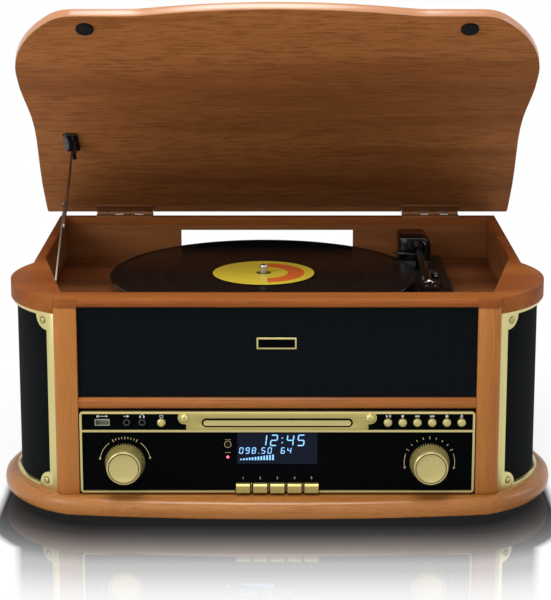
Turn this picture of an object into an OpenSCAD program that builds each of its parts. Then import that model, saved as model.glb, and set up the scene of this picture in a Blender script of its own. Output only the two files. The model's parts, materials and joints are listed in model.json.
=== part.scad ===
// Retro stereo music centre: a wooden cabinet with a turntable, a disc tray and a radio.
// Each module is drawn in the cabinet's own frame: x from the centre line, y backwards from
// the front face, z up from the top of the plinth. placed() moves it to the resting frame.

/* [Cabinet] */
// Depth of the cabinet box, front face to back
body_d = 360; // [352:1:380]
// Width of the cabinet box behind the speaker bays
box_w = 462; // [456:1:480]
// Height from the plinth's top to the rim
body_h = 180; // [178:1:200]
// Thickness of the side walls and slanted baffles
wall_t = 8.5; // [6:0.5:10]
// Thickness of the back panel
back_t = 9.5; // [8:0.5:11]
// Thickness of the front board
front_t = 24; // [20:1:28]
// Thickness of the top frame's board
frame_t = 8.5; // [7:0.5:10]
// Thickness of the top frame's round ears
ear_t = 15; // [12:0.5:18]
// Radius of the ears over the speaker bays
ear_r = 97; // [94:0.5:99]
// Depth of the ears' centre behind the front face
ear_y = 89; // [86:1:92]
// Width of a front pillar
pillar_w = 21; // [18:0.5:24]
// Rounding of a pillar's outer edge
pillar_edge = 7; // [3:0.5:9]
// Depth at which a slanted baffle meets the side wall
slant_end = 161; // [155:1:170]
// Height of the middle rail
rail_h = 11; // [8:0.5:12]

/* [Plinth and feet] */
// Thickness of the plinth
plinth_t = 17.5; // [15:0.5:22]
// How far the plinth stands out past the ears
plinth_out = 9.6; // [8:0.2:12]
// How far the plinth's front bows out in the middle
plinth_bow = 12; // [6:0.5:14]
// Radius of the plinth's rounded edge
plinth_edge = 7; // [3:0.5:7.5]
// Height of a rubber foot
foot_h = 9; // [6:0.5:12]
// Radius of a rubber foot
foot_r = 16; // [10:0.5:20]

/* [Lid] */
// Thickness of the lid
lid_t = 9; // [7:0.5:12]
// How far the lid stands out past the ears
lid_out = 2.2; // [1:0.2:5]
// Radius of the lid's ears
lid_ear_r = 115.5; // [110:0.5:120]
// How far the lid stands out past the box at its waist
lid_waist = 9.3; // [8:0.1:11]
// How far the lid stands out past the box at its back corners
lid_tail = 14.3; // [13:0.1:16]
// How far the lid stands out behind the box
lid_over = 3.5; // [3:0.1:4]
// Depth of the lid's shoulders behind the front face
lid_front = 6.5; // [5:0.5:8]
// How far the middle of the lid's front bows out past its shoulders
lid_bow = 10.8; // [8:0.2:12]
// Half the width of that bow
lid_bow_w = 128; // [120:1:134]
// How far the lid is open at rest, in degrees
lid_open = 41; // [38:1:46]
// Gap between the rim and the closed lid
lid_gap = 3.4; // [3.2:0.1:4]
// Radius of the lid's rounded edge
lid_edge = 1; // [0.5:0.25:1.5]
// Length of a butt hinge
hinge_l = 60; // [50:5:70]
// Distance of a butt hinge from the centre line
hinge_x = 162.5; // [140:2.5:170]
// Radius of the hinge knuckles
knuckle_r = 2.9; // [2.5:0.1:3.1]
// Distance of the stay's upper pivot in front of the hinge
stay_up = 138; // [130:1:145]
// Depth of the stay's lower pivot
stay_low_y = 110; // [105:1:120]
// Length of the stay's upper arm
stay_upper_l = 100; // [90:1:104]
// Length of the stay's lower arm
stay_lower_l = 104; // [95:1:106]

/* [Turntable] */
// Depth of the deck below the rim
deck_drop = 44; // [42:1:48]
// Thickness of the deck
deck_t = 12; // [9:1:15]
// Radius of the record
record_r = 151; // [150:0.5:152]
// Thickness of the record at its edge and label
record_t = 2; // [1.6:0.1:2.4]
// Radius of the record's label
label_r = 50; // [45:1:52]
// Radius of the platter
platter_r = 99; // [90:1:110]
// Height of the platter's skirt
platter_h = 10; // [9:0.5:12]
// Thickness of the slip mat
mat_t = 3; // [2:0.5:4]
// Distance of the spindle from the centre line, to the left
spindle_x = 13.7; // [10:0.1:16]
// Depth of the spindle behind the front face
spindle_y = 207; // [204:1:209]
// Radius of the spindle's free end
spindle_r = 3.6; // [3.4:0.05:3.65]
// Length of the spindle's free end
spindle_free = 6; // [5:0.5:8]
// Radius of the motor pulley
pulley_r = 6; // [5:0.5:8]
// Width of the record slot in the back panel
slot_w = 183; // [170:1:190]
// Height of the record slot
slot_h = 21; // [16:1:22]

/* [Tonearm] */
// Distance of the tonearm's pivot from the centre line
arm_x = 143.5; // [142:0.5:146]
// Distance of the tonearm's pivot in front of the back panel
arm_back = 45.5; // [42:0.5:48]
// Length from the pivot to the stylus
arm_l = 195; // [188:1:200]
// Radius of the arm tube
arm_r = 3; // [2.5:0.1:3.4]
// Height of the arm tube's axis above the record
arm_rise = 8; // [7.5:0.1:9]
// Height of the pivot tower's top below the rim
tower_drop = 8; // [7:0.5:9]

/* [Fascia] */
// Height of the gilt fascia frame
fascia_h = 75.5; // [74:0.5:78]
// Width of a gilt frame bar
bar_w = 2; // [1.5:0.1:2.4]
// Height of the divider above the plinth
divider_z = 59.2; // [58:0.2:60]
// Height of the row of small buttons above the plinth
row_z = 67; // [66:0.2:68]
// Radius of a round button
button_r = 3.8; // [3:0.1:4.4]
// Travel of a button
button_travel = 1.2; // [0.8:0.1:1.6]
// Spacing of the six transport buttons
button_pitch = 13.05; // [12:0.05:13.2]
// Distance of the last transport button from the fascia's end
button_in = 12.95; // [11:0.05:14]
// Distance of the function button from the fascia's end
function_in = 73.5; // [72:0.5:78]
// Width of a preset key
key_w = 12.6; // [10:0.2:13.4]
// Height of a preset key
key_h = 8; // [7:0.2:10]
// Spacing of the preset keys
key_pitch = 15.25; // [15:0.05:16]
// Distance of a knob from the fascia's end
knob_in = 40.8; // [38:0.2:46]
// Height of a knob's axis above the plinth
knob_z = 30; // [27:0.5:32]
// Radius of a knob's skirt at its foot
knob_r = 18; // [15:0.5:19]
// Height of a knob
knob_h = 17; // [14:0.5:20]
// Number of flutes round a knob
knob_flutes = 40; // [30:1:60]
// Width of the display window
display_w = 71.2; // [66:0.2:72]
// Height of the display window
display_h = 29; // [26:0.5:29]

/* [Disc tray] */
// Width of the tray's front bar
tray_w = 130.6; // [128:0.2:134]
// Height of the tray's front bar
tray_h = 4.9; // [4.6:0.1:5.4]
// Length of the tray
tray_l = 160; // [150:1:165]
// Radius of the disc's recess
disc_r = 60.6; // [60.5:0.1:61]

/* [Hidden] */
gap = 0.35;             // room between pieces that move past each other
fit = 0.05;             // radial room of a shaft in its bearing
deg = 180 / PI;
half_w = box_w / 2;
inner_x = half_w - wall_t;
inner_back = body_d - back_t;
arm_y = inner_back - arm_back;
bay_w = 54.8;           // from the box's side in to the front opening
open_x = half_w - bay_w;
knob_x = open_x - knob_in;
function_x = open_x - function_in;
pillar_x = open_x + pillar_w;
ear_in = 83.4;          // from the box's side in to the ears' centre
ear_x = half_w - ear_in;
frame_z = body_h - frame_t;
slant_x = pillar_x - 5.3;
slant_a = atan2(inner_x - slant_x, slant_end - front_t);
slant_out = wall_t / cos(slant_a);
cloth_r = ear_r - 5.5;
trim_r = ear_r - 2;
trim_h = 3.5;
strip_w = 6.7;
deck_z = body_h - deck_drop;
mat_z = deck_z + platter_h + 3;
record_z = mat_z + mat_t;
record_top = record_z + record_t;
slot_top = body_h - 13.9;
slot_x = -11;
rail_z = fascia_h + 3.2;
panel_z = rail_z + rail_h;
fascia_x = open_x - 1;
fascia_z = 1.7;
face_y = 1.5;           // front of the gloss panel
panel_t = 5.5;
panel_back = face_y + panel_t;
board_y = 14;           // front of the control board
hinge_y = body_d + knuckle_r + 0.3;
hinge_z = body_h + lid_gap / 2;
lid_z = body_h + lid_gap;
lid_ear_x = ear_x + ear_r + lid_out - lid_ear_r;
lid_ear_y = ear_y + 12.7;
lid_waist_y = ear_y + 108;
lid_rear = body_d + lid_over;
plinth_half = half_w + plinth_out;
pad_t = lid_gap - gap;   // the lid's pads just touch the rim when it is closed
leaf_t = 1.3;
leaf_w = 9;
pin_r = 1.2;
stay_x = 16.5 - inner_x;
stay_t = 1.4;
stay_w = 7;
stay_drop = 11;
stay_low_z = frame_z - 5.5;
stay_top = turned([hinge_y - stay_up, lid_z - stay_drop]);
stay_angle = atan2(stay_top[1] - stay_low_z, stay_top[0] - stay_low_y);
sub_r = 60;             // radius of the platter's drive ring
motor_a = 215;
motor_gap = sub_r + pulley_r + 9;
motor_x = -spindle_x + motor_gap * cos(motor_a);
motor_y = spindle_y + motor_gap * sin(motor_a);
arm_z = record_top + arm_rise;
base_z = deck_z + 6;
lever_z = deck_z + 3.5;
tower_w = 33;
barrel_r = 6;           // the arm's round block in its turret
tower_top = body_h - tower_drop;
cue_r = 33.5;           // distance of the cue platform from the arm's pivot
cue_y = arm_y - cue_r;
lever_y = arm_y - 42;
speed_y = arm_y - 110;
tray_z = row_z - tray_h / 2;
slot_gap = 1.1;         // dark line round the tray's front bar
bezel_x = 80.7;
mech_x = tray_w / 2 + 6;
rear_reach = hinge_y + (lid_rear - lid_edge - hinge_y) * cos(lid_open)
    + (lid_gap / 2 + lid_t - lid_edge) * sin(lid_open) + lid_edge;
mid_d = (rear_reach - plinth_out - plinth_bow) / 2;

// ---- Helpers ----

// A point of the closed lid, [y, z], after the lid has opened about its hinge
function turned(p) = [
    hinge_y + (p[0] - hinge_y) * cos(lid_open) + (p[1] - hinge_z) * sin(lid_open),
    hinge_z - (p[0] - hinge_y) * sin(lid_open) + (p[1] - hinge_z) * cos(lid_open)];

// From the cabinet's frame to the resting frame
module placed() {
    translate([0, -mid_d, foot_h + plinth_t]) children();
}

// The closed lid's frame, opened
module opened() {
    translate([0, hinge_y, hinge_z]) rotate([-lid_open, 0, 0])
        translate([0, -hinge_y, -hinge_z]) children();
}

// Both sides: the piece as drawn on the right, and its mirror image
module both() {
    children();
    mirror([1, 0, 0]) children();
}

// A plate that lies in the x-z plane, drawn in 2D as [x, z], from depth y to y + t
module facing(y, t) {
    translate([0, y + t, 0]) rotate([90, 0, 0]) linear_extrude(t) children();
}

// A cylinder or a turned profile whose axis runs backwards, from depth y
module backwards(x, y, z) {
    translate([x, y, z]) rotate([-90, 0, 0]) children();
}

module rounded_rect(w, h, r) {
    square([w - 2 * r, h], center = true);
    square([w, h - 2 * r], center = true);
    for (sx = [-1, 1], sy = [-1, 1])
        translate([sx * (w / 2 - r), sy * (h / 2 - r)]) circle(r, $fn = 32);
}

// Outline of a board with a bowed front and two ears, right half, from the front's middle
// to the middle of the back: out past the ears, bow in front, half width behind them
function half_outline(r, front, bow, half, back, blend) = let(
    x1 = ear_x + sqrt(r * r - pow(ear_y + front, 2)),
    rb = (x1 * x1 + bow * bow) / (2 * bow),
    sweep = asin(x1 / rb),
    a0 = atan2(-front - ear_y, x1 - ear_x),
    cx = half + blend,
    cy = ear_y + sqrt(pow(r + blend, 2) - pow(cx - ear_x, 2)),
    a1 = atan2(cy - ear_y, cx - ear_x),
    corner = 6)
    concat(
        [for (i = [0:6]) [rb * sin(sweep * i / 7),
            rb - bow - front - rb * cos(sweep * i / 7)]],
        [for (i = [0:14]) let(a = a0 + (a1 - a0) * i / 14)
            [ear_x + r * cos(a), ear_y + r * sin(a)]],
        [for (i = [1:4]) let(a = a1 * (4 - i) / 4)
            [cx - blend * cos(a), cy - blend * sin(a)]],
        [for (i = [0:3]) [half - corner + corner * cos(30 * i),
            back - corner + corner * sin(30 * i)]]);

function arc(c, r, a0, a1, n) =
    [for (i = [0:n]) let(a = a0 + (a1 - a0) * i / n) c + r * [cos(a), sin(a)]];

// A curve in n steps from a to d, with its bends towards b and c; a itself is left out
function curve(a, b, c, d, n) = [for (i = [1:n]) let(t = i / n, s = 1 - t)
    s * s * s * a + 3 * s * s * t * b + 3 * s * t * t * c + t * t * t * d];

// Outline of the lid, right half: bowed middle, straight shoulder, ear, waist and tail
function lid_outline() = let(
    bow_r = (pow(lid_bow_w, 2) + pow(lid_bow, 2)) / (2 * lid_bow),
    bow_end = asin((lid_bow_w - 10) / bow_r),
    bow = arc([0, lid_front - lid_bow + bow_r], bow_r, -90, bow_end - 90, 7),
    flat = [lid_bow_w + 10, lid_front],
    corner = [lid_ear_x + sqrt(pow(lid_ear_r, 2) - pow(lid_ear_y - lid_front, 2)), lid_front],
    ear_from = atan2(corner[1] - lid_ear_y, corner[0] - lid_ear_x) + 5.5,
    ear = arc([lid_ear_x, lid_ear_y], lid_ear_r, ear_from, 3, 12),
    shoulder = corner - [11, 0],
    waist = [half_w + lid_waist, lid_waist_y],
    tail = [half_w + lid_tail, lid_rear - 18],
    corner_r = 2)
    concat(bow,
        curve(bow[7], bow[7] + 6 * [cos(bow_end), sin(bow_end)], flat - [8, 0], flat, 3),
        [shoulder],
        curve(shoulder, (shoulder + 2 * corner) / 3, (ear[0] + 2 * corner) / 3, ear[0], 3),
        [for (i = [1:12]) ear[i]],
        curve(ear[12], ear[12] + [0.4, 32], waist - [0, 39], waist, 5),
        curve(waist, waist + [0, 38], tail - [0, 70], tail, 5),
        arc([tail[0] - corner_r, lid_rear - corner_r], corner_r, 0, 90, 2));

function whole_outline(h) = concat(h, [for (i = [len(h) - 1:-1:1]) [-h[i][0], h[i][1]]]);

// The outline moved inwards by e at each point
function inset(p, e) = let(n = len(p)) [for (i = [0:n - 1]) let(
    a = p[(i + 1) % n] - p[i],
    b = p[i] - p[(i + n - 1) % n],
    u = [a[1], -a[0]] / norm(a),
    v = [b[1], -b[0]] / norm(b))
    p[i] - e * (u + v) / (1 + u * v)];

// A board of that outline, t thick, whose edge is rounded with radius r above and below
module rounded_board(p, t, r, steps = 3) {
    n = len(p);
    rounding = [for (i = [0:steps]) 90 * i / steps];
    levels = concat([for (a = rounding) [r * (1 - sin(a)), r * (1 - cos(a))]],
        [for (a = rounding) [r * (1 - cos(a)), t - r + r * sin(a)]]);
    rings = [for (l = levels) [for (q = inset(p, l[0])) [q[0], q[1], l[1]]]];
    points = [for (ring = rings) each ring];
    last = (len(levels) - 1) * n;
    faces = concat([[for (i = [0:n - 1]) i]],
        [for (k = [0:len(levels) - 2], i = [0:n - 1])
            [k * n + i, (k + 1) * n + i, (k + 1) * n + (i + 1) % n, k * n + (i + 1) % n]],
        [[for (i = [n - 1:-1:0]) last + i]]);
    polyhedron(points, faces, convexity = 6);
}

// ---- Cabinet ----

// Everything that the cabinet covers in plan, ears and all
module cabinet_outline() {
    translate([-pillar_x + pillar_edge, 0]) square([2 * (pillar_x - pillar_edge), body_d]);
    translate([-pillar_x, front_t]) square([2 * pillar_x, body_d - front_t]);
    both() pillar_outline();
    translate([-half_w, ear_y]) square([box_w, body_d - ear_y]);
    both() intersection() {
        translate([ear_x, ear_y]) circle(ear_r, $fn = 96);
        translate([pillar_x, 0]) square([ear_r, 2 * ear_r]);
    }
}

module well_outline() {
    polygon([[-slant_x, front_t], [slant_x, front_t], [inner_x, slant_end],
        [inner_x, inner_back], [-inner_x, inner_back], [-inner_x, slant_end]]);
}

module pillar_outline() {
    translate([open_x, 0]) square([pillar_w - pillar_edge, front_t]);
    translate([open_x, pillar_edge]) square([pillar_w, front_t - pillar_edge]);
    translate([pillar_x - pillar_edge, pillar_edge]) circle(pillar_edge, $fn = 48);
}

// Where the side wall's outer face begins, behind the curved cloth
function stub_y(r) = ear_y + sqrt(r * r - ear_in * ear_in);
function slant_at(y) = slant_x + (y - front_t) * tan(slant_a);

module wall_outline() {
    polygon([[slant_x, front_t], [inner_x, slant_end], [inner_x, inner_back],
        [half_w, inner_back], [half_w, stub_y(cloth_r)],
        [slant_at(stub_y(cloth_r)) + slant_out, stub_y(cloth_r)],
        [slant_x + slant_out, front_t]]);
}

module plinth() {
    color("#be7841") translate([0, 0, -plinth_t])
        rounded_board(whole_outline(half_outline(ear_r + plinth_out, plinth_out, plinth_bow,
            plinth_half, body_d, 40)), plinth_t, plinth_edge);
}

module rubber_feet() {
    color("#202020") both() for (y = [45, body_d - 40])
        translate([half_w - 40, y, -plinth_t - foot_h])
            rotate_extrude($fn = 48) polygon([[0, 0], [foot_r - 3, 0], [foot_r, 3],
                [foot_r, foot_h], [0, foot_h]]);
}

module front_pillars() {
    color("#af703a") both() linear_extrude(frame_z) pillar_outline();
}

module top_frame() {
    nose = frame_t / 2;
    color("#96552f") difference() {
        union() {
            translate([0, 0, frame_z]) linear_extrude(frame_t) difference() {
                cabinet_outline();
                translate([-open_x, -1]) square([2 * open_x, nose + 1]);
            }
            translate([0, 0, body_h - ear_t]) linear_extrude(ear_t) both() difference() {
                intersection() {
                    translate([ear_x, ear_y]) circle(ear_r, $fn = 96);
                    translate([pillar_x, 0]) square([ear_r, stub_y(ear_r)]);
                }
                wall_outline();
                translate([0, stub_y(cloth_r)]) square([half_w, ear_r]);
            }
            translate([-open_x, nose, frame_z + nose]) rotate([0, 90, 0])
                cylinder(r = nose, h = 2 * open_x, $fn = 48);
        }
        translate([0, 0, body_h - ear_t - 1]) linear_extrude(ear_t + 2) well_outline();
    }
}

module middle_rail() {
    nose = rail_h / 2;
    color("#a5642f") {
        translate([-open_x, nose, rail_z]) cube([2 * open_x, front_t - nose, rail_h]);
        translate([-open_x, nose, rail_z + nose]) rotate([0, 90, 0])
            cylinder(r = nose, h = 2 * open_x, $fn = 48);
    }
}

speaker_y = 76;
speaker_z = 62;
speaker_r = 45;

// The frame of a loudspeaker: its axis points out of the slanted baffle's outer face
module on_baffle() {
    translate([slant_at(speaker_y) + slant_out, speaker_y, speaker_z])
        rotate([0, 0, -slant_a]) rotate([0, 90, 0]) children();
}

module side_walls() {
    color("#8a4d2b") both() difference() {
        linear_extrude(frame_z) wall_outline();
        on_baffle() translate([0, 0, -2 * wall_t])
            cylinder(r = speaker_r - 7, h = 3 * wall_t, $fn = 64);
    }
}

module loudspeakers() {
    color("#26282a") both() on_baffle() rotate_extrude($fn = 64) polygon([
        [0, -46], [28, -46], [28, -30], [20, -30], [speaker_r - 8, -3], [speaker_r - 8, 0],
        [speaker_r, 0], [speaker_r, 3], [speaker_r - 5, 3], [speaker_r - 9, 1],
        [14, -14], [10, -9], [0, -8]]);
}

vent_n = 9;
socket_x = 120;
socket_z = 36;

module back_panel() {
    color("#7d4b2a") difference() {
        translate([-half_w, inner_back, 0]) cube([2 * half_w, back_t, frame_z]);
        translate([slot_x - slot_w / 2, inner_back - 1, slot_top - slot_h])
            cube([slot_w, back_t + 2, slot_h]);
        for (sx = [-1, 1])
            translate([sx * socket_x, inner_back + back_t / 2, socket_z])
                cube([48, back_t + 2, 22], center = true);
        for (i = [0:vent_n - 1])
            translate([-60 + 15 * i - 1.5, inner_back - 1, 40]) cube([3, back_t + 2, 40]);
    }
}

module turntable_deck() {
    color("#4b2d19") translate([0, 0, deck_z - deck_t]) linear_extrude(deck_t) difference() {
        well_outline();
        translate([-spindle_x, spindle_y]) circle(5, $fn = 48);
        translate([motor_x, motor_y]) circle(pulley_r + 3, $fn = 48);
        translate([arm_x, arm_y]) circle(7, $fn = 48);
    }
}

module front_board() {
    color("#6e3f22") translate([-open_x, 6, panel_z])
        cube([2 * open_x, front_t - 6, frame_z - panel_z]);
}

module front_grille() {
    color("#1a1d20") translate([-open_x, 3.5, panel_z])
        cube([2 * open_x, 2.5, frame_z - panel_z]);
}

// A curved band over the speaker bay, from angle a0 to a1 about the ear's centre
module bay_band(r0, r1, a0, a1) {
    far = 2 * r1;
    am = (a0 + a1) / 2;
    translate([ear_x, ear_y]) intersection() {
        difference() {
            circle(r1, $fn = 96);
            circle(r0, $fn = 96);
        }
        polygon([[0, 0], far * [cos(a0), sin(a0)], far * [cos(am), sin(am)],
            far * [cos(a1), sin(a1)]]);
    }
}

trim_z = body_h - ear_t;
band_front = -acos((pillar_x - ear_x) / cloth_r);
band_back = acos(ear_in / cloth_r);
strip_end = -acos((pillar_x + strip_w - ear_x) / trim_r);
trim_front = -acos((pillar_x - ear_x) / trim_r);
trim_back = acos(ear_in / trim_r);

module side_grilles() {
    color("#121619") both() linear_extrude(trim_z)
        bay_band(cloth_r - 2.5, cloth_r - 0.1, band_front + 3, band_back);
}

lug_w = 13;
lug_screw = 4.6;

// Gilt frame over each side cloth: strip, bars, and a lug with a screw hole in each corner
module grille_trims() {
    color("#c9be7c") both() difference() {
        linear_extrude(trim_z) bay_band(cloth_r, trim_r, trim_front - 3, trim_back);
        translate([0, 0, -1]) cube([pillar_x, ear_y, trim_z + 2]);
        translate([0, ear_y, -1]) cube([half_w, ear_r, trim_z + 2]);
        difference() {
            translate([0, 0, trim_h]) linear_extrude(trim_z - 2 * trim_h)
                bay_band(cloth_r - 1, trim_r + 1, strip_end, trim_back + 30);
            for (z = [trim_h, trim_z - trim_h]) lug_axis(0, z)
                cylinder(r = lug_w, h = 2 * ear_r, $fn = 48);
        }
        for (z = [trim_h + lug_screw, trim_z - trim_h - lug_screw]) lug_axis(lug_screw, z)
            cylinder(r = 1.4, h = 2 * ear_r, $fn = 24);
    }
}

// The radial line through the trim's inner corner, moved along the curve by "along"
module lug_axis(along, z) {
    translate([ear_x, ear_y, z]) rotate([0, 90, strip_end + along / trim_r * deg])
        children();
}

// ---- Fascia ----

function transport_x(i) = open_x - button_in - button_pitch * (5 - i);
function key_x(i) = key_pitch * (i - 2);
key_z = 2.4 + key_h / 2;
display_z = 28.3 + display_h / 2;
lens_x = -44;
ir_z = 46.4;
led_z = 34.9;
usb_x = 21 - open_x;
aux_x = usb_x + 21.6;
phones_x = aux_x + 13.7;

module fascia_frame() {
    cz = fascia_z + fascia_h / 2;
    color("#c9be7c") difference() {
        union() {
            facing(-0.6, face_y + 3) translate([0, cz]) difference() {
                rounded_rect(2 * fascia_x, fascia_h, 3);
                square([2 * (fascia_x - bar_w), fascia_h - 2 * bar_w], center = true);
            }
            facing(-0.2, face_y + 0.2) translate([0, divider_z])
                square([2 * (fascia_x - bar_w), bar_w], center = true);
        }
        translate([-2.5 * key_pitch + 0.6, -5, fascia_z - 1])
            cube([5 * key_pitch - 1.2, 20, key_h + 2.4]);
    }
}

module tray_slot() {
    rounded_rect(tray_w + 2 * slot_gap, tray_h + 2 * slot_gap, tray_h / 2 + slot_gap - 0.1);
}

// The openings that the gloss panel has for all that passes through it
module panel_openings() {
    translate([0, row_z]) tray_slot();
    translate([-function_x, row_z]) circle(button_r + gap, $fn = 32);
    for (i = [0:5]) translate([transport_x(i), row_z]) circle(button_r + gap, $fn = 32);
    for (i = [0:4]) translate([key_x(i), key_z])
        square([key_w + 2 * gap, key_h + 2 * gap], center = true);
    for (sx = [-1, 1]) translate([sx * knob_x, knob_z]) circle(5, $fn = 32);
    translate([usb_x, row_z]) square([14.2, 7.2], center = true);
    for (x = [aux_x, phones_x]) translate([x, row_z]) circle(3.2, $fn = 32);
    translate([lens_x, ir_z]) circle(2.5, $fn = 32);
    translate([lens_x, led_z]) circle(1.6, $fn = 32);
}

module fascia_panel() {
    cz = fascia_z + fascia_h / 2;
    front = 2.9;
    color("#0c0e10") difference() {
        union() {
            facing(face_y, front) translate([0, cz])
                square([2 * (fascia_x - bar_w), fascia_h - 2 * bar_w], center = true);
            facing(face_y + front, panel_t - front)
                translate([-open_x, 0]) square([2 * open_x, rail_z]);
        }
        facing(face_y - 1, panel_t + 2) panel_openings();
        facing(face_y - 1, 2.2) translate([0, display_z]) square([display_w, display_h], true);
    }
}

module tray_bezel() {
    low = divider_z + bar_w / 2;
    high = fascia_z + fascia_h - bar_w;
    lug_z = high - 3.6;
    lug_x = bezel_x + 1.4;
    color("#cdc283") facing(-0.4, face_y + 0.4) difference() {
        union() {
            translate([-bezel_x, low]) square([2 * bezel_x, high - low]);
            intersection() {
                for (sx = [-1, 1]) translate([sx * lug_x, lug_z]) circle(6, $fn = 48);
                translate([-2 * bezel_x, low]) square([4 * bezel_x, high - low]);
            }
        }
        translate([0, row_z]) tray_slot();
    }
    color("#cdc283") for (sx = [-1, 1]) backwards(sx * lug_x, -2.6, lug_z)
        rotate_extrude($fn = 48) polygon([[0, 0], [1.6, 0.2], [2.8, 0.9], [3.6, 2.2], [0, 2.2]]);
}

module display_window() {
    color("#1a2038") facing(face_y - 0.4, 1.6) translate([0, display_z])
        square([display_w, display_h], true);
    color("#3a0d12") {
        facing(face_y - 0.5, panel_t) translate([lens_x, ir_z]) circle(2.5, $fn = 32);
        facing(face_y - 0.8, panel_t) translate([lens_x, led_z]) circle(1.6, $fn = 32);
    }
}

usb_w = 12.1;
usb_h = 4.9;
jack_r = 1.8;

module front_sockets() {
    color("#b9b08a") {
        facing(face_y - 0.6, 13) translate([usb_x, row_z]) difference() {
            square([usb_w + 0.9, usb_h + 0.9], center = true);
            square([usb_w, usb_h], center = true);
        }
        facing(face_y + 12.4, 1) translate([usb_x, row_z])
            square([usb_w + 0.9, usb_h + 0.9], center = true);
        for (x = [aux_x, phones_x]) facing(face_y - 0.9, 13) translate([x, row_z])
            difference() {
                circle(3.15, $fn = 32);
                circle(jack_r, $fn = 32);
            }
    }
}

module control_board() {
    board_x = open_x - 8;
    color("#2f5a35") {
        facing(board_y, 1.6) difference() {
            translate([-board_x, 3]) square([2 * board_x, rail_z - 8]);
            translate([-mech_x - 1, divider_z - 3]) square([2 * mech_x + 2, 40]);
            for (x = [usb_x, aux_x, phones_x]) translate([x, row_z]) square(18, center = true);
        }
        for (x = [-110, -60, 60, 110]) backwards(x, panel_back, knob_z)
            cylinder(r = 3, h = board_y - panel_back, $fn = 32);
        for (i = [0:5]) facing(board_y - 2.6, 2.6) translate([transport_x(i), row_z])
            square(6, center = true);
        facing(board_y - 2.6, 2.6) translate([-function_x, row_z]) square(6, center = true);
        for (i = [0:4]) facing(board_y - 2.6, 2.6) translate([key_x(i), key_z])
            square(6, center = true);
        for (sx = [-1, 1]) difference() {
            union() {
                facing(panel_back, board_y - panel_back) translate([sx * knob_x, knob_z])
                    square(13, center = true);
                backwards(sx * knob_x, face_y - 0.6, knob_z) cylinder(r = 4.7, h = 8, $fn = 32);
            }
            backwards(sx * knob_x, face_y - 2, knob_z) cylinder(r = 3 + fit, h = 12, $fn = 32);
        }
    }
}

// ---- Inside ----

main_w = 190;
main_d = 110;
main_x = 52.5 - inner_x;
main_y = inner_back - main_d - 20.5;
post_h = 6;
board_t = 1.6;

// Processor board, with a heat sink, capacitors and chips
module main_board() {
    color("#2f6a3a") {
        translate([main_x, main_y, post_h]) cube([main_w, main_d, board_t]);
        for (x = [10, main_w - 10], y = [10, main_d - 10])
            translate([main_x + x, main_y + y, 0]) cylinder(r = 3.5, h = post_h, $fn = 32);
        translate([main_x, main_y, post_h + board_t]) {
            translate([20, 80, 0]) cube([90, 6, 38]);
            for (i = [0:7]) translate([22 + 12 * i, 86, 0]) cube([2, 12, 38]);
            for (i = [0:2]) translate([140 + 18 * i, 80, 0]) cylinder(r = 8, h = 26, $fn = 32);
            for (i = [0:3]) translate([20 + 34 * i, 20, 0]) cube([22, 22, 4]);
        }
    }
}

module power_transformer() {
    core_w = 56;
    core_d = 46;
    translate([inner_x - 106.5, inner_back - 75.5, 0]) {
        color("#6c6f72") {
            translate([-core_w / 2 - 8, -core_d / 2 - 2, 0]) cube([core_w + 16, core_d + 4, 2]);
            translate([-core_w / 2, -core_d / 2, 2]) cube([core_w, core_d, 44]);
            for (sx = [-1, 1]) translate([sx * (core_w / 2 + 4), 0, 2])
                cylinder(r = 3, h = 2, $fn = 6);
        }
        color("#b58a3c") translate([-18, -core_d / 2 - 8, 8]) cube([36, core_d + 16, 32]);
    }
}

module disc_mechanism() {
    front = board_y + 3;
    deep = tray_l + 12;
    inside_x = tray_w / 2 - 1.5;
    color("#3a3d40") difference() {
        union() {
            translate([-mech_x, front, tray_z - 5]) cube([2 * mech_x, deep, tray_h + 9]);
            for (sx = [-1, 1], y = [front + 12, front + deep - 12])
                translate([sx * (mech_x - 7), y, 0]) cylinder(r = 5, h = tray_z, $fn = 32);
        }
        translate([-inside_x - gap, front - 1, tray_z - gap])
            cube([2 * (inside_x + gap), deep - 4, tray_h + 1 + gap]);
    }
}

motor_h = 26;

module platter_motor() {
    under = deck_z - deck_t;
    color("#8b8f92") translate([motor_x, motor_y, under]) mirror([0, 0, 1]) difference() {
        union() {
            cylinder(r = 24, h = 2, $fn = 64);
            cylinder(r = 18, h = motor_h, $fn = 64);
            cylinder(r = 6, h = motor_h + 3, $fn = 48);
        }
        translate([0, 0, -1]) cylinder(r = 1.2 + fit, h = motor_h - 2, $fn = 24);
    }
}

module motor_pulley() {
    top = deck_z + platter_h - 1.5;
    color("#c8c8c4") translate([motor_x, motor_y, 0]) {
        translate([0, 0, top - 8]) rotate_extrude($fn = 48) polygon([[0, 0], [pulley_r, 0],
            [pulley_r, 1], [pulley_r - 0.8, 1.6], [pulley_r - 0.8, 5.4], [pulley_r, 6],
            [pulley_r, 7], [0, 7]]);
        translate([0, 0, deck_z - deck_t - motor_h + 5])
            cylinder(r = 1.2, h = motor_h + deck_t, $fn = 24);
    }
}

// The belt runs round the pulley's waist and the platter's drive ring
module drive_belt() {
    wheel_r = sub_r + gap;
    waist_r = pulley_r - 0.8 + gap;
    belt_t = 0.7;
    far = [motor_x + spindle_x, motor_y - spindle_y];
    lean = acos((wheel_r - waist_r) / norm(far));
    color("#1b1b1b") translate([-spindle_x, spindle_y, deck_z + platter_h - 7])
        linear_extrude(2.8) rotate(atan2(far[1], far[0])) difference() {
            polygon(belt_points(wheel_r + belt_t, waist_r + belt_t, norm(far), lean));
            polygon(belt_points(wheel_r, waist_r, norm(far), lean));
        }
}

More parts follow.
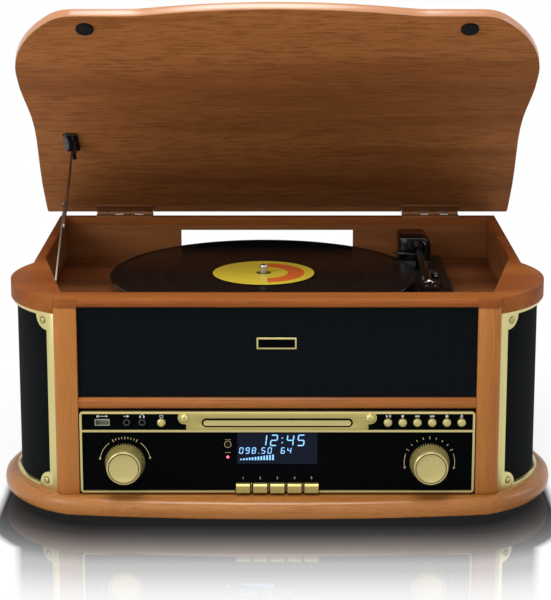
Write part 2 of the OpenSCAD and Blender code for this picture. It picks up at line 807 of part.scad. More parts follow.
// Outline of a loop round a wheel of radius r0 and another of radius r1, far apart
function belt_points(r0, r1, far, lean) = concat(
    [for (i = [0:36]) let(a = lean + (360 - 2 * lean) * i / 36) [r0 * cos(a), r0 * sin(a)]],
    [for (i = [0:12]) let(a = -lean + 2 * lean * i / 12) [far + r1 * cos(a), r1 * sin(a)]]);

// ---- Turntable ----

shaft_r = 5;

free_z = record_top + 0.6;

// Its shank is relieved where the mat and the record sit
module spindle() {
    color("#d4d6d8") translate([-spindle_x, spindle_y, 0]) {
        translate([0, 0, deck_z - deck_t - 6]) cylinder(r = 9, h = 6, $fn = 6);
        translate([0, 0, deck_z - deck_t]) cylinder(r = shaft_r, h = mat_z - 0.4 - deck_z
            + deck_t, $fn = 48);
        translate([0, 0, deck_z]) cylinder(r = 14, h = 1.2, $fn = 48);
        translate([0, 0, mat_z - 0.4]) cylinder(r = spindle_r - 0.25, h = free_z - mat_z + 0.4,
            $fn = 48);
        translate([0, 0, free_z]) cylinder(r = spindle_r, h = spindle_free, $fn = 48);
        translate([0, 0, free_z + spindle_free]) rotate_extrude($fn = 48)
            polygon([[0, 0], [spindle_r, 0], [spindle_r - 0.6, 1.2], [spindle_r - 1.8, 2.1],
                [0, 2.4]]);
    }
}

module platter() {
    skirt = 5;
    web = 3;
    color("#a9acb0") translate([-spindle_x, spindle_y, mat_z - platter_h])
        rotate_extrude($fn = 96) polygon([[shaft_r + fit, -1.3], [12, -1.3],
            [12, platter_h - web], [sub_r - 3, platter_h - web], [sub_r - 3, 0],
            [sub_r, 0], [sub_r, platter_h - web], [platter_r - skirt, platter_h - web],
            [platter_r - skirt, 0], [platter_r - 1, 0], [platter_r, 1],
            [platter_r, platter_h - 1], [platter_r - 1, platter_h], [shaft_r + fit, platter_h]]);
}

module slip_mat() {
    color("#1c1c1e") translate([-spindle_x, spindle_y, mat_z]) difference() {
        cylinder(r = platter_r - 2, h = mat_t, $fn = 96);
        translate([0, 0, -1]) cylinder(r = spindle_r + fit, h = mat_t + 2, $fn = 48);
        for (r = [20:12:platter_r - 8]) translate([0, 0, mat_t - 0.6]) difference() {
            cylinder(r = r + 3, h = 1, $fn = 96);
            translate([0, 0, -1]) cylinder(r = r, h = 3, $fn = 96);
        }
    }
}

module record() {
    dip = 0.4;
    hole_r = spindle_r + fit;
    color("#101214") translate([-spindle_x, spindle_y, record_z]) rotate_extrude($fn = 128)
        polygon([[hole_r, 0], [label_r, 0], [label_r + 4, dip], [record_r - 5, dip],
            [record_r - 3, 0.2], [record_r - 0.6, 0.2], [record_r, 0.8],
            [record_r, record_t - 0.6], [record_r - 0.6, record_t],
            [record_r - 3, record_t], [record_r - 5, record_t - dip],
            [label_r + 4, record_t - dip], [label_r, record_t], [hole_r, record_t]]);
}

module tonearm_base() {
    rest_y = arm_y - 128;
    color("#17181a") difference() {
        union() {
            translate([arm_x + 5.5, arm_y - 76, deck_z]) linear_extrude(base_z - deck_z)
                rounded_rect(46, 214, 8);
            translate([arm_x - 2, arm_y, base_z]) linear_extrude(arm_z - 14 - base_z)
                rounded_rect(tower_w, 46, 6);
            translate([arm_x, rest_y, base_z])
                cylinder(r = 4, h = arm_z - arm_r - gap - base_z, $fn = 32);
            translate([arm_x + arm_r + gap, rest_y - 3, base_z])
                cube([2, 6, arm_z + 1 - base_z]);
        }
        translate([arm_x, arm_y, deck_z - 1]) cylinder(r = 4 + fit, h = 60, $fn = 48);
        translate([arm_x + 15 - 3 - gap, lever_y - 20, deck_z + 1.2])
            cube([6 + 2 * gap, 24, 20]);
        translate([arm_x + 15, speed_y, deck_z + 4.2]) cube([7, 16, 6], center = true);
        translate([arm_x, cue_y, deck_z - 1]) cylinder(r = 2 + gap, h = 20, $fn = 32);
        translate([arm_x + 10, lever_y, lever_z]) rotate([0, 90, 0])
            cylinder(r = 1 + fit, h = 10, $fn = 24);
    }
}

// Front view of the turret: square on its left, round over the arm on its right
module hood_outline(floor_z) {
    round_r = 9;
    translate([-2 - tower_w / 2, floor_z]) {
        square([tower_w - round_r, tower_top - floor_z]);
        square([tower_w, tower_top - floor_z - round_r]);
    }
    translate([tower_w / 2 - 2 - round_r, tower_top - round_r]) circle(round_r, $fn = 48);
}

module tonearm_turret() {
    floor_z = arm_z - 14 + gap;
    color("#1d1e20") translate([arm_x, arm_y, 0]) {
        translate([0, 0, deck_z + 1]) cylinder(r = 4, h = floor_z - deck_z, $fn = 48);
        difference() {
            intersection() {
                translate([-2, 0, floor_z]) linear_extrude(tower_top - floor_z)
                    rounded_rect(tower_w, 46, 6);
                facing(-30, 60) hood_outline(floor_z);
            }
            backwards(0, -30, arm_z) cylinder(r = barrel_r + 1.8, h = 60, $fn = 64);
            translate([-tower_w, 0, arm_z]) rotate([0, 90, 0])
                cylinder(r = 2 + fit, h = 2 * tower_w, $fn = 32);
        }
    }
}

module tonearm() {
    color("#232427") translate([arm_x, arm_y, arm_z]) {
        rotate([90, 0, 0]) cylinder(r = arm_r, h = arm_l - 28, $fn = 48);
        translate([0, 16, 0]) rotate([90, 0, 0]) cylinder(r = barrel_r, h = 32, $fn = 64);
        translate([-12, 0, 0]) rotate([0, 90, 0]) cylinder(r = 2, h = 24, $fn = 32);
    }
}

module headshell() {
    drop = arm_rise - 0.6;
    color("#2a2b2e") translate([arm_x, arm_y - arm_l, arm_z]) {
        translate([-8, -6, -1.5]) cube([16, 34, 3]);
        translate([-5, 0, 1 - drop + 1.6]) cube([10, 20, drop - 2.2]);
        translate([0, 1, -drop]) cylinder(r1 = 0.3, r2 = 1.4, h = 3.4, $fn = 24);
        translate([8, -4, -0.5]) cube([9, 3, 1.4]);
    }
}

// Lifts the arm: a curved bar about the arm's pivot, on a pin through the base
module cue_platform() {
    lift_z = arm_z - arm_r - gap;
    bar_t = 1.6;
    color("#101112") {
        translate([arm_x, cue_y, deck_z + 1])
            cylinder(r = 2, h = lift_z - bar_t / 2 - deck_z - 1, $fn = 32);
        translate([arm_x, arm_y, lift_z - bar_t]) linear_extrude(bar_t) intersection() {
            difference() {
                circle(cue_r + 2.5, $fn = 64);
                circle(cue_r - 2.5, $fn = 64);
            }
            polygon([[0, 0], each [for (a = [-44, -22, 0, 8]) 2 * cue_r * [sin(a), -cos(a)]]]);
        }
    }
}

module cue_lever() {
    color("#101112") translate([arm_x + 15, lever_y, lever_z]) {
        translate([-3, -6, -1.4]) cube([6, 7, 2.8]);
        translate([-4.6, 0, 0]) rotate([0, 90, 0]) cylinder(r = 1, h = 9.2, $fn = 24);
        translate([-2.4, -4, -0.6]) rotate([-14, 0, 0]) mirror([0, 1, 0]) cube([4.8, 30, 2]);
    }
}

module speed_switch() {
    color("#2b2c2e") translate([arm_x + 15, speed_y, base_z])
        translate([-2.5, -3.5, -4]) cube([5, 7, 9]);
}

// ---- Lid and stay ----

module lid_panel() {
    color("#734b26") opened() difference() {
        translate([0, 0, lid_z])
            rounded_board(whole_outline(lid_outline()), lid_t, lid_edge, 2);
        both() translate([hinge_x - hinge_l / 2 - gap, hinge_y - knuckle_r - gap, lid_z - 1])
            cube([hinge_l + 2 * gap, knuckle_r + 20, hinge_z + knuckle_r + gap - lid_z + 1]);
    }
}

module lid_pads() {
    color("#17181a") opened() both() translate([half_w - 56.2, 24.3, lid_z - pad_t])
        rotate_extrude($fn = 48)
        polygon([[0, 0], [7.2, 0], [8.2, 0.8], [8.2, pad_t], [0, pad_t]]);
}

knuckle_n = 5;
knuckle_l = hinge_l / knuckle_n;

// The knuckles of one leaf, which are those with the given parity
module knuckles(odd) {
    for (i = [0:knuckle_n - 1]) if (i % 2 == odd)
        translate([-hinge_l / 2 + i * knuckle_l + 0.2, hinge_y, hinge_z]) rotate([0, 90, 0])
            difference() {
                cylinder(r = knuckle_r, h = knuckle_l - 0.4, $fn = 48);
                if (odd == 1) translate([0, 0, -1])
                    cylinder(r = pin_r + fit, h = knuckle_l + 2, $fn = 32);
            }
}

// Links from the leaf to its knuckles
module knuckle_links(odd, z, deep) {
    for (i = [0:knuckle_n - 1]) if (i % 2 == odd)
        translate([-hinge_l / 2 + i * knuckle_l + 0.2, hinge_y - knuckle_r - deep, z])
            cube([knuckle_l - 0.4, deep + 0.9, leaf_t]);
}

module hinge_leaves() {
    leaf_y = hinge_y - knuckle_r - 0.5;
    color("#4a3a2a") both() translate([hinge_x, 0, 0]) {
        translate([-hinge_l / 2, leaf_y - leaf_w, body_h]) cube([hinge_l, leaf_w, leaf_t]);
        knuckles(0);
        knuckle_links(0, body_h, 1);
        translate([-hinge_l / 2, hinge_y, hinge_z]) rotate([0, 90, 0])
            cylinder(r = pin_r, h = hinge_l, $fn = 32);
    }
}

module lid_hinge_leaves() {
    leaf_y = hinge_y - knuckle_r - 0.5;
    color("#4a3a2a") opened() both() translate([hinge_x, 0, 0]) {
        translate([-hinge_l / 2, leaf_y - leaf_w - 3, lid_z - leaf_t])
            cube([hinge_l, leaf_w + 3, leaf_t]);
        knuckles(1);
        knuckle_links(1, lid_z - leaf_t, 1);
    }
}

stay_pin = 2;

module lid_stay_bracket() {
    color("#17181a") opened() translate([stay_x, hinge_y - stay_up, 0]) difference() {
        union() {
            translate([-7, -9, lid_z - 2]) cube([14, 18, 2]);
            translate([2, -5, lid_z - stay_drop - 4]) cube([3, 10, stay_drop + 2.5]);
        }
        translate([0, 0, lid_z - stay_drop]) rotate([0, 90, 0])
            cylinder(r = stay_pin + fit, h = 9, $fn = 32);
    }
}

module stay_wall_bracket() {
    inner = stay_x - stay_t - 2 * gap;
    outer = -slant_at(stay_low_y) - 4;
    color("#17181a") difference() {
        union() {
            translate([outer, stay_low_y - 7, stay_low_z - 9])
                cube([inner - outer - 1.2, 14, 11]);
            translate([outer, stay_low_y, stay_low_z]) rotate([0, 90, 0])
                cylinder(r = 4.5, h = inner - outer, $fn = 48);
        }
        mirror([1, 0, 0]) translate([0, 0, -1]) linear_extrude(body_h) wall_outline();
        mirror([1, 0, 0]) translate([0, 0, frame_z - gap]) cube([half_w, body_d, body_h]);
        translate([-half_w, stay_low_y, stay_low_z]) rotate([0, 90, 0])
            cylinder(r = stay_pin + fit, h = half_w, $fn = 32);
    }
}

// A flat stay arm along +y from its pivot, with a slot or a rivet near its free end
module stay_strip(length, slotted) {
    difference() {
        union() {
            rotate([0, 90, 0]) cylinder(r = stay_w / 2, h = stay_t, $fn = 48);
            translate([0, 0, -stay_w / 2]) cube([stay_t, length, stay_w]);
            translate([0, length, 0]) rotate([0, 90, 0])
                cylinder(r = stay_w / 2, h = stay_t, $fn = 48);
        }
        if (slotted) translate([-1, 14, -1.6]) cube([stay_t + 2, length - 18, 3.2]);
    }
    if (!slotted) translate([stay_t, length, 0]) rotate([0, -90, 0])
        cylinder(r = 2.6, h = stay_t + 1, $fn = 32);
}

module stay_upper_arm() {
    color("#2b2d30") translate([stay_x, stay_top[0], stay_top[1]]) {
        rotate([stay_angle + 180, 0, 0]) stay_strip(stay_upper_l, true);
        translate([stay_t, 0, 0]) rotate([0, 90, 0])
            cylinder(r = stay_pin, h = 4.4 - stay_t, $fn = 32);
    }
}

module stay_lower_arm() {
    color("#2b2d30") translate([stay_x - stay_t - gap, stay_low_y, stay_low_z]) {
        rotate([stay_angle, 0, 0]) stay_strip(stay_lower_l, false);
        translate([-2.9, 0, 0]) rotate([0, 90, 0]) cylinder(r = stay_pin, h = 3, $fn = 32);
    }
}

// ---- Controls ----

module disc_tray() {
    thick = 3.4;
    side = tray_w / 2 - 1.5 - gap;
    color("#18191b") difference() {
        union() {
            facing(-1.4, 4.4) translate([0, row_z]) rounded_rect(tray_w, tray_h, tray_h / 2 - 0.1);
            translate([-side, 2.9, tray_z + 0.2]) cube([2 * side, tray_l, thick]);
        }
        translate([0, disc_r + 8, tray_z + thick - 1.2]) cylinder(r = disc_r, h = 9, $fn = 96);
        translate([-18, disc_r - 10, tray_z - 1]) cube([36, tray_l, thick + 4]);
    }
}

// A fluted knob with a dished face; its shaft runs backwards into the encoder
module knob() {
    skirt_r = knob_r - 2.5;
    color("#c9be7c") {
        difference() {
            rotate([90, 0, 0]) rotate_extrude($fn = 96) polygon([[0, -0.2], [knob_r, -0.2],
                [knob_r, 1.2], [skirt_r, knob_h - 1.2], [skirt_r - 1.4, knob_h],
                [skirt_r - 2.6, knob_h], [0, knob_h - 2.4]]);
            for (i = [0:knob_flutes - 1]) rotate([0, 360 * i / knob_flutes, 0])
                translate([knob_r + 0.1, -1.6, 0]) rotate([90, 0, -8.4])
                    cylinder(r = 0.7, h = knob_h + 4, $fn = 16);
        }
        rotate([-90, 0, 0]) cylinder(r = 3, h = 10, $fn = 32);
    }
}

knob_y = face_y - 1.4;

module volume_knob() {
    translate([-knob_x, knob_y, knob_z]) knob();
}

module tuning_knob() {
    translate([knob_x, knob_y, knob_z]) knob();
}

// A round domed button with a flange that keeps it behind the panel
module round_button(x) {
    stem_end = board_y - 2.6 - gap - button_travel;
    color("#c9be7c") {
        backwards(x, -2.2, row_z) rotate_extrude($fn = 48) polygon([[0, 0],
            [button_r * 0.6, 0.3], [button_r * 0.9, 1], [button_r, 2.2],
            [button_r, panel_back + 2.2 + gap], [button_r + 1, panel_back + 2.2 + gap],
            [button_r + 1, panel_back + 3.2 + gap], [0, panel_back + 3.2 + gap]]);
        backwards(x, panel_back, row_z) cylinder(r = 2, h = stem_end - panel_back, $fn = 32);
    }
}

module function_button() {
    round_button(-function_x);
}

module transport_button(i) {
    round_button(transport_x(i));
}

// A wide key with a sloping top edge
module preset_key(i) {
    stem_end = board_y - 2.6 - gap - button_travel;
    back = panel_back + 1 + gap;
    top = key_h / 2;
    color("#b5aa62") translate([key_x(i) - key_w / 2, 0, key_z]) {
        rotate([90, 0, 90]) linear_extrude(key_w) polygon([[-3.4, -top], [back, -top],
            [back, top], [-2, top], [-3.4, top - 2]]);
        translate([key_w / 2, back, 0]) rotate([-90, 0, 0])
            cylinder(r = 2, h = stem_end - back, $fn = 32);
    }
}

// ---- Back ----

module rear_sockets() {
    plate_y = inner_back + 3;
    out = body_d + 4.2;
    color("#202225") for (sx = [-1, 1]) translate([sx * socket_x, plate_y, socket_z])
        difference() {
            translate([-24, 0, -11]) cube([48, 3, 22]);
            if (sx > 0) translate([-7.5, -1, -4.5]) cube([15, 6, 9]);
        }
    color("#c8c8c4") for (x = [-15, -5, 5, 15]) backwards(x - socket_x, plate_y + 3, socket_z)
        difference() {
            cylinder(r = 4.1, h = out - plate_y - 3, $fn = 32);
            translate([0, 0, 2]) cylinder(r = 1.7, h = 20, $fn = 32);
        }
    color("#202225") translate([socket_x, plate_y - 6, socket_z]) difference() {
        translate([-9.5, 0, -6.5]) cube([19, 6, 13]);
        translate([-7.5, 2, -4.5]) cube([15, 6, 9]);
    }
    color("#c8c8c4") for (sx = [-1, 1]) backwards(socket_x + sx * 5, plate_y - 4.5, socket_z)
        cylinder(r = 1.2, h = 7, $fn = 24);
}

placed() plinth();
placed() rubber_feet();
placed() front_pillars();
placed() top_frame();
placed() middle_rail();
placed() side_walls();
placed() back_panel();
placed() turntable_deck();
placed() front_board();
placed() front_grille();
placed() side_grilles();
placed() grille_trims();
placed() loudspeakers();
placed() fascia_frame();
placed() fascia_panel();
placed() tray_bezel();
placed() display_window();
placed() front_sockets();
placed() control_board();
placed() main_board();
placed() power_transformer();
placed() disc_mechanism();
placed() platter_motor();
placed() spindle();
placed() drive_belt();
placed() tonearm_base();
placed() hinge_leaves();
placed() stay_wall_bracket();
placed() rear_sockets();
placed() lid_panel();
placed() lid_pads();
placed() lid_hinge_leaves();
placed() lid_stay_bracket();
placed() stay_upper_arm();
placed() stay_lower_arm();
placed() platter();
placed() slip_mat();
placed() record();
placed() motor_pulley();
placed() tonearm_turret();
placed() tonearm();
placed() headshell();
placed() cue_lever();
placed() cue_platform();
placed() speed_switch();
placed() disc_tray();
placed() volume_knob();
placed() tuning_knob();
placed() function_button();
placed() transport_button(0);  // transport_button_1
placed() transport_button(1);  // transport_button_2
placed() transport_button(2);  // transport_button_3
placed() transport_button(3);  // transport_button_4
placed() transport_button(4);  // transport_button_5
placed() transport_button(5);  // transport_button_6
placed() preset_key(0);  // preset_key_1
placed() preset_key(1);  // preset_key_2
placed() preset_key(2);  // preset_key_3
placed() preset_key(3);  // preset_key_4
placed() preset_key(4);  // preset_key_5
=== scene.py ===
# Retro stereo music centre: its finishes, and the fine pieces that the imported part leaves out.
# Lengths are in millimetres of the cabinet's own frame (x from the centre line, depth behind
# the front face, height above the plinth), and place() and MM turn them into Blender's metres.
# The floor, the lights and the flag are given in metres.
import json
import math

import bpy
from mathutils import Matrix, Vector


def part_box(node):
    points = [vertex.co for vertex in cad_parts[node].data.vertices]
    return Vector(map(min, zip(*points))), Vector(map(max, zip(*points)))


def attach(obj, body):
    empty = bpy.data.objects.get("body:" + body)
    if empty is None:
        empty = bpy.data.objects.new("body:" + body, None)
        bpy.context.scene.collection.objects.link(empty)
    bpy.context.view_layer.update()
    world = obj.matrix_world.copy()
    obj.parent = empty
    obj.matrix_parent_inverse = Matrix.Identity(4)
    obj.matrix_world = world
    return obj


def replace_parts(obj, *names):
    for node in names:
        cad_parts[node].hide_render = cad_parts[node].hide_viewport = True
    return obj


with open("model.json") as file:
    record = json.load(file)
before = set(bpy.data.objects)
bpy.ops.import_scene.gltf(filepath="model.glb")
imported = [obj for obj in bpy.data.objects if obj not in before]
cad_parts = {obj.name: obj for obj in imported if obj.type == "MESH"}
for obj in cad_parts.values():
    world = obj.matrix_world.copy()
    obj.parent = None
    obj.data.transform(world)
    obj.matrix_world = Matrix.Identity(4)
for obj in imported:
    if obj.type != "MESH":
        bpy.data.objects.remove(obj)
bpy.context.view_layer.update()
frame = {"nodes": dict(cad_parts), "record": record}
NODES = frame["nodes"]
MM = 0.001
FRONT_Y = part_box("front_pillars")[0].y
PLINTH_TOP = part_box("plinth")[1].z
UP, FORWARD = "up", "forward"
TURNS = {UP: (0, 0, 0), FORWARD: (math.pi / 2, 0, 0)}
LID_OPEN = math.radians(41)


def place(x, depth, height):
    """A point of the cabinet's frame, in Blender's."""
    return Vector((x * MM, FRONT_Y + depth * MM, PLINTH_TOP + height * MM))


HINGE_PIN = place(0, 363.2, 181.7)
# Up the open lid from its hinge, and straight out of its upper face
ALONG_LID = Vector((0, -math.cos(LID_OPEN), math.sin(LID_OPEN)))
ACROSS_LID = Vector((0, math.sin(LID_OPEN), math.cos(LID_OPEN)))


def middle(node):
    """The middle of a CAD node's box."""
    low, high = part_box(node)
    return (low + high) / 2


# ---- Modelling helpers ----

def only(*pieces):
    """Selects these pieces and nothing else."""
    bpy.ops.object.select_all(action="DESELECT")
    for piece in pieces:
        piece.select_set(True)
    bpy.context.view_layer.objects.active = pieces[0]


def apply_modifier(piece, kind, **settings):
    """Gives a piece a modifier with these settings and applies it."""
    only(piece)
    modifier = piece.modifiers.new(kind.title(), kind)
    for key, value in settings.items():
        setattr(modifier, key, value)
    bpy.ops.object.modifier_apply(modifier=modifier.name)


def eased(piece, width, segments=2):
    """Rounds a piece's sharp edges by width, in millimetres."""
    apply_modifier(piece, "BEVEL", width=width * MM, segments=segments, limit_method="ANGLE",
                   angle_limit=math.radians(40), use_clamp_overlap=True)
    return piece


def settle(piece, name, body, finish, angle=32):
    """Puts a finished piece's place in its mesh, and gives it its name, finish and body."""
    only(piece)
    bpy.ops.object.transform_apply(location=True, rotation=True, scale=True)
    bpy.ops.object.shade_smooth_by_angle(angle=math.radians(angle))
    piece.name = name
    piece.data.materials.clear()
    piece.data.materials.append(finish)
    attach(piece, body)
    return piece


def joined(pieces):
    """Makes one piece of several."""
    only(*pieces)
    bpy.ops.object.join()
    return bpy.context.object


def copy_of_node(node, to_be_eased):
    """A merged copy of a CAD node, to be finished and shown in its place. Where its edges are to
    be eased, faces that lie within 0.3 degrees of each other become one."""
    piece = NODES[node].copy()
    piece.data = piece.data.copy()
    bpy.context.collection.objects.link(piece)
    only(piece)
    bpy.ops.object.mode_set(mode="EDIT")
    bpy.ops.mesh.select_all(action="SELECT")
    bpy.ops.mesh.customdata_custom_splitnormals_clear()
    bpy.ops.mesh.remove_doubles(threshold=2e-6)
    if to_be_eased:
        bpy.ops.mesh.dissolve_limited(angle_limit=math.radians(0.3))
    bpy.ops.object.mode_set(mode="OBJECT")
    return piece


def refilled(piece, direction):
    """Draws a board's two flat faces anew, because their triangles cross its hollow curves."""
    only(piece)
    bpy.ops.object.mode_set(mode="EDIT")
    bpy.ops.mesh.select_mode(type="FACE")
    bpy.ops.mesh.select_all(action="DESELECT")
    bpy.ops.object.mode_set(mode="OBJECT")
    for face in piece.data.polygons:
        face.select = abs(face.normal.dot(Vector(direction))) > 0.9999
    bpy.ops.object.mode_set(mode="EDIT")
    bpy.ops.mesh.delete(type="FACE")
    bpy.ops.mesh.select_mode(type="VERT")
    bpy.ops.mesh.select_all(action="DESELECT")
    bpy.ops.mesh.select_non_manifold()
    bpy.ops.mesh.fill_holes(sides=0)
    bpy.ops.mesh.select_all(action="SELECT")
    bpy.ops.mesh.normals_make_consistent(inside=False)
    bpy.ops.object.mode_set(mode="OBJECT")


def refined(node, width, finish, segments=2, flat_across=None):
    """Stands a copy of a CAD node with eased edges in the node's place."""
    piece = copy_of_node(node, width > 0)
    if flat_across:
        refilled(piece, flat_across)
    if width:
        eased(piece, width, segments)
    settle(piece, node + "_finished", body_of(node), finish)
    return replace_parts(piece, node)


def body_of(node):
    """The body that a CAD node rides on."""
    for body, members in frame["record"]["behaviour"]["bodies"].items():
        if node in members:
            return body
    raise KeyError(node)


# A profile that ends on its axis comes this near to it first, in millimetres
ON_AXIS = 1e-4


def turned(profile, sides=64, at=(0, 0, 0), turn=UP, closed=True):
    """Turns a piece: a ring is drawn out along its axis, from one (radius, height) to the next."""
    radius, height = profile[0]
    bpy.ops.mesh.primitive_circle_add(vertices=sides, radius=radius * MM,
                                      location=(0, 0, height * MM))
    piece = bpy.context.object
    bpy.ops.object.transform_apply(location=True)
    bpy.ops.object.mode_set(mode="EDIT")
    bpy.ops.mesh.select_all(action="SELECT")
    for next_radius, next_height in profile[1:]:
        bpy.ops.mesh.extrude_edges_move(TRANSFORM_OT_translate={
            "value": (0, 0, (next_height - height) * MM)})
        ratio = max(next_radius, ON_AXIS) / radius
        bpy.ops.transform.resize(value=(ratio, ratio, 1))
        radius, height = max(next_radius, ON_AXIS), next_height
    bpy.ops.mesh.select_all(action="SELECT")
    bpy.ops.mesh.remove_doubles(threshold=1e-6)
    if closed:
        bpy.ops.mesh.select_all(action="DESELECT")
        bpy.ops.mesh.select_non_manifold()
        bpy.ops.mesh.fill_holes(sides=0)
    bpy.ops.mesh.select_all(action="SELECT")
    bpy.ops.mesh.normals_make_consistent(inside=False)
    bpy.ops.object.mode_set(mode="OBJECT")
    piece.rotation_euler = TURNS[turn]
    piece.location = at
    return piece


def block(width, depth, height, at, edge=0.0, segments=2):
    """A block of that size about its middle, with eased edges."""
    bpy.ops.mesh.primitive_cube_add(size=1, location=at)
    piece = bpy.context.object
    piece.scale = (width * MM, depth * MM, height * MM)
    bpy.ops.object.transform_apply(location=False, rotation=False, scale=True)
    return eased(piece, edge, segments) if edge else piece


MARK_DEPTH = 0.3


def flat_mark(sides, radius, at, pointing=90):
    """A thin regular shape on the fascia, with a corner that points that way, in degrees."""
    bpy.ops.mesh.primitive_cylinder_add(vertices=sides, radius=radius * MM,
                                        depth=MARK_DEPTH * MM)
    piece = bpy.context.object
    piece.rotation_euler = (0, 0, math.radians(pointing - 90))
    bpy.ops.object.transform_apply(rotation=True)
    piece.rotation_euler = TURNS[FORWARD]
    piece.location = at
    bpy.ops.object.transform_apply(location=True, rotation=True, scale=True)
    return piece


def bar_mark(length, width, at, turn=0.0):
    """A thin bar on the fascia, turned by an angle in degrees from the horizontal."""
    piece = block(length, MARK_DEPTH, width, at)
    piece.rotation_euler = (0, -math.radians(turn), 0)
    bpy.ops.object.transform_apply(location=True, rotation=True)
    return piece


def arc_mark(at, radius, first, last, width):
    """A thin arc on the fascia about a point, between two angles in degrees from the right."""
    turn = math.radians(first)
    bpy.ops.mesh.primitive_plane_add(size=1)
    piece = bpy.context.object
    piece.scale = (width * MM, MARK_DEPTH * MM, 1)
    bpy.ops.object.transform_apply(scale=True)
    piece.rotation_euler = (0, -turn, 0)
    piece.location = (radius * MM * math.cos(turn), 0, radius * MM * math.sin(turn))
    bpy.ops.object.transform_apply(location=True, rotation=True)
    bpy.ops.object.mode_set(mode="EDIT")
    bpy.ops.mesh.select_all(action="SELECT")
    bpy.ops.mesh.spin(steps=max(4, int(abs(last - first) / 4)), angle=math.radians(last - first),
                      center=(0, 0, 0), axis=(0, 1, 0))
    bpy.ops.mesh.select_all(action="SELECT")
    bpy.ops.mesh.normals_make_consistent(inside=False)
    bpy.ops.object.mode_set(mode="OBJECT")
    piece.location = at
    return piece


# ---- Material helpers ----

def linear(colour):
    """An sRGB hex colour as Blender's linear one."""
    values = [int(colour[i:i + 2], 16) / 255 for i in (1, 3, 5)]
    return tuple(v / 12.92 if v <= 0.04045 else ((v + 0.055) / 1.055) ** 2.4
                 for v in values) + (1,)


def start(name, colour, roughness, **sockets):
    """A new material: its shader's own sockets are set, and its Object coordinates are ready."""
    finish = bpy.data.materials.new(name)
    finish.use_nodes = True
    shader = finish.node_tree.nodes["Principled BSDF"]
    shader.inputs["Base Color"].default_value = linear(colour)
    shader.inputs["Roughness"].default_value = roughness
    for key, value in sockets.items():
        shader.inputs[key.replace("_", " ")].default_value = value
    return finish, shader, add(finish, "TexCoord").outputs["Object"]


def add(owner, kind, links=None, stops=(), **settings):
    """Adds a node. Links go to its inputs, by name or number, as sockets, values or hex colours,
    settings to what it has, and stops, of a position and a hex colour or brightness, to its
    ramp."""
    node = owner.node_tree.nodes.new("ShaderNode" + kind)
    for key, value in settings.items():
        if hasattr(node, key):
            setattr(node, key, value)
        else:
            node.inputs[key.replace("_", " ")].default_value = value
    for key, value in (links or {}).items():
        if isinstance(value, bpy.types.NodeSocket):
            link(owner, value, node.inputs[key])
        else:
            node.inputs[key].default_value = linear(value) if isinstance(value, str) else value
    if stops:
        elements = node.color_ramp.elements
        while len(elements) < len(stops):
            elements.new(0.5)
        for element, (position, value) in zip(elements, stops):
            element.position = position
            element.color = linear(value) if isinstance(value, str) else (value,) * 3 + (1,)
    return node


def link(owner, socket, target):
    """Links a node's output to another node's input."""
    owner.node_tree.links.new(socket, target)


# A Mix node of colours takes its share and its two colours at these inputs, and gives the
# mixed colour at that output
SHARE, UNDER, OVER, MIXED = 0, 6, 7, 2


def seen_rays(owner):
    """1 for what the camera sees, itself, in a mirror or through glass, and 0 for light."""
    path = add(owner, "LightPath").outputs
    mirrored = add(owner, "Math", {0: path["Is Glossy Ray"], 1: path["Is Transmission Ray"]},
                   operation="MAXIMUM").outputs[0]
    return add(owner, "Math", {0: path["Is Camera Ray"], 1: mirrored},
               operation="MAXIMUM").outputs[0]


# ---- Materials ----

# Real sizes in millimetres. In wood: the flame figure, the growth lines and their wander, the
# fibres and the pores. In cloth: a thread as drawn, and its slubs. On metal, plastic and rubber:
# brush lines, smudges, cloudy patches, the haze of wiping and bloom. On the record: the grooves,
# its tracks and the flecks of its label.
FLAME, GROWTH_LINE, WANDER, FIBRE, PORE = 26.0, 3.0, 60.0, 1.6, 0.9
THREAD, SLUB = 1.5, 4.0
BRUSH_LINE, SMUDGE, CLOUD, HAZE, BLOOM = 0.7, 35.0, 30.0, 60.0, 6.0
GROOVE, TRACK, FLECK = 1.3, 5.0, 3.0
# Heights above the hinge pin, across the lid, between which its edge is drawn paler, as a painted
# highlight
EDGE_HIGHLIGHT_FROM, EDGE_HIGHLIGHT_TO = 2.3 * MM, 10.4 * MM


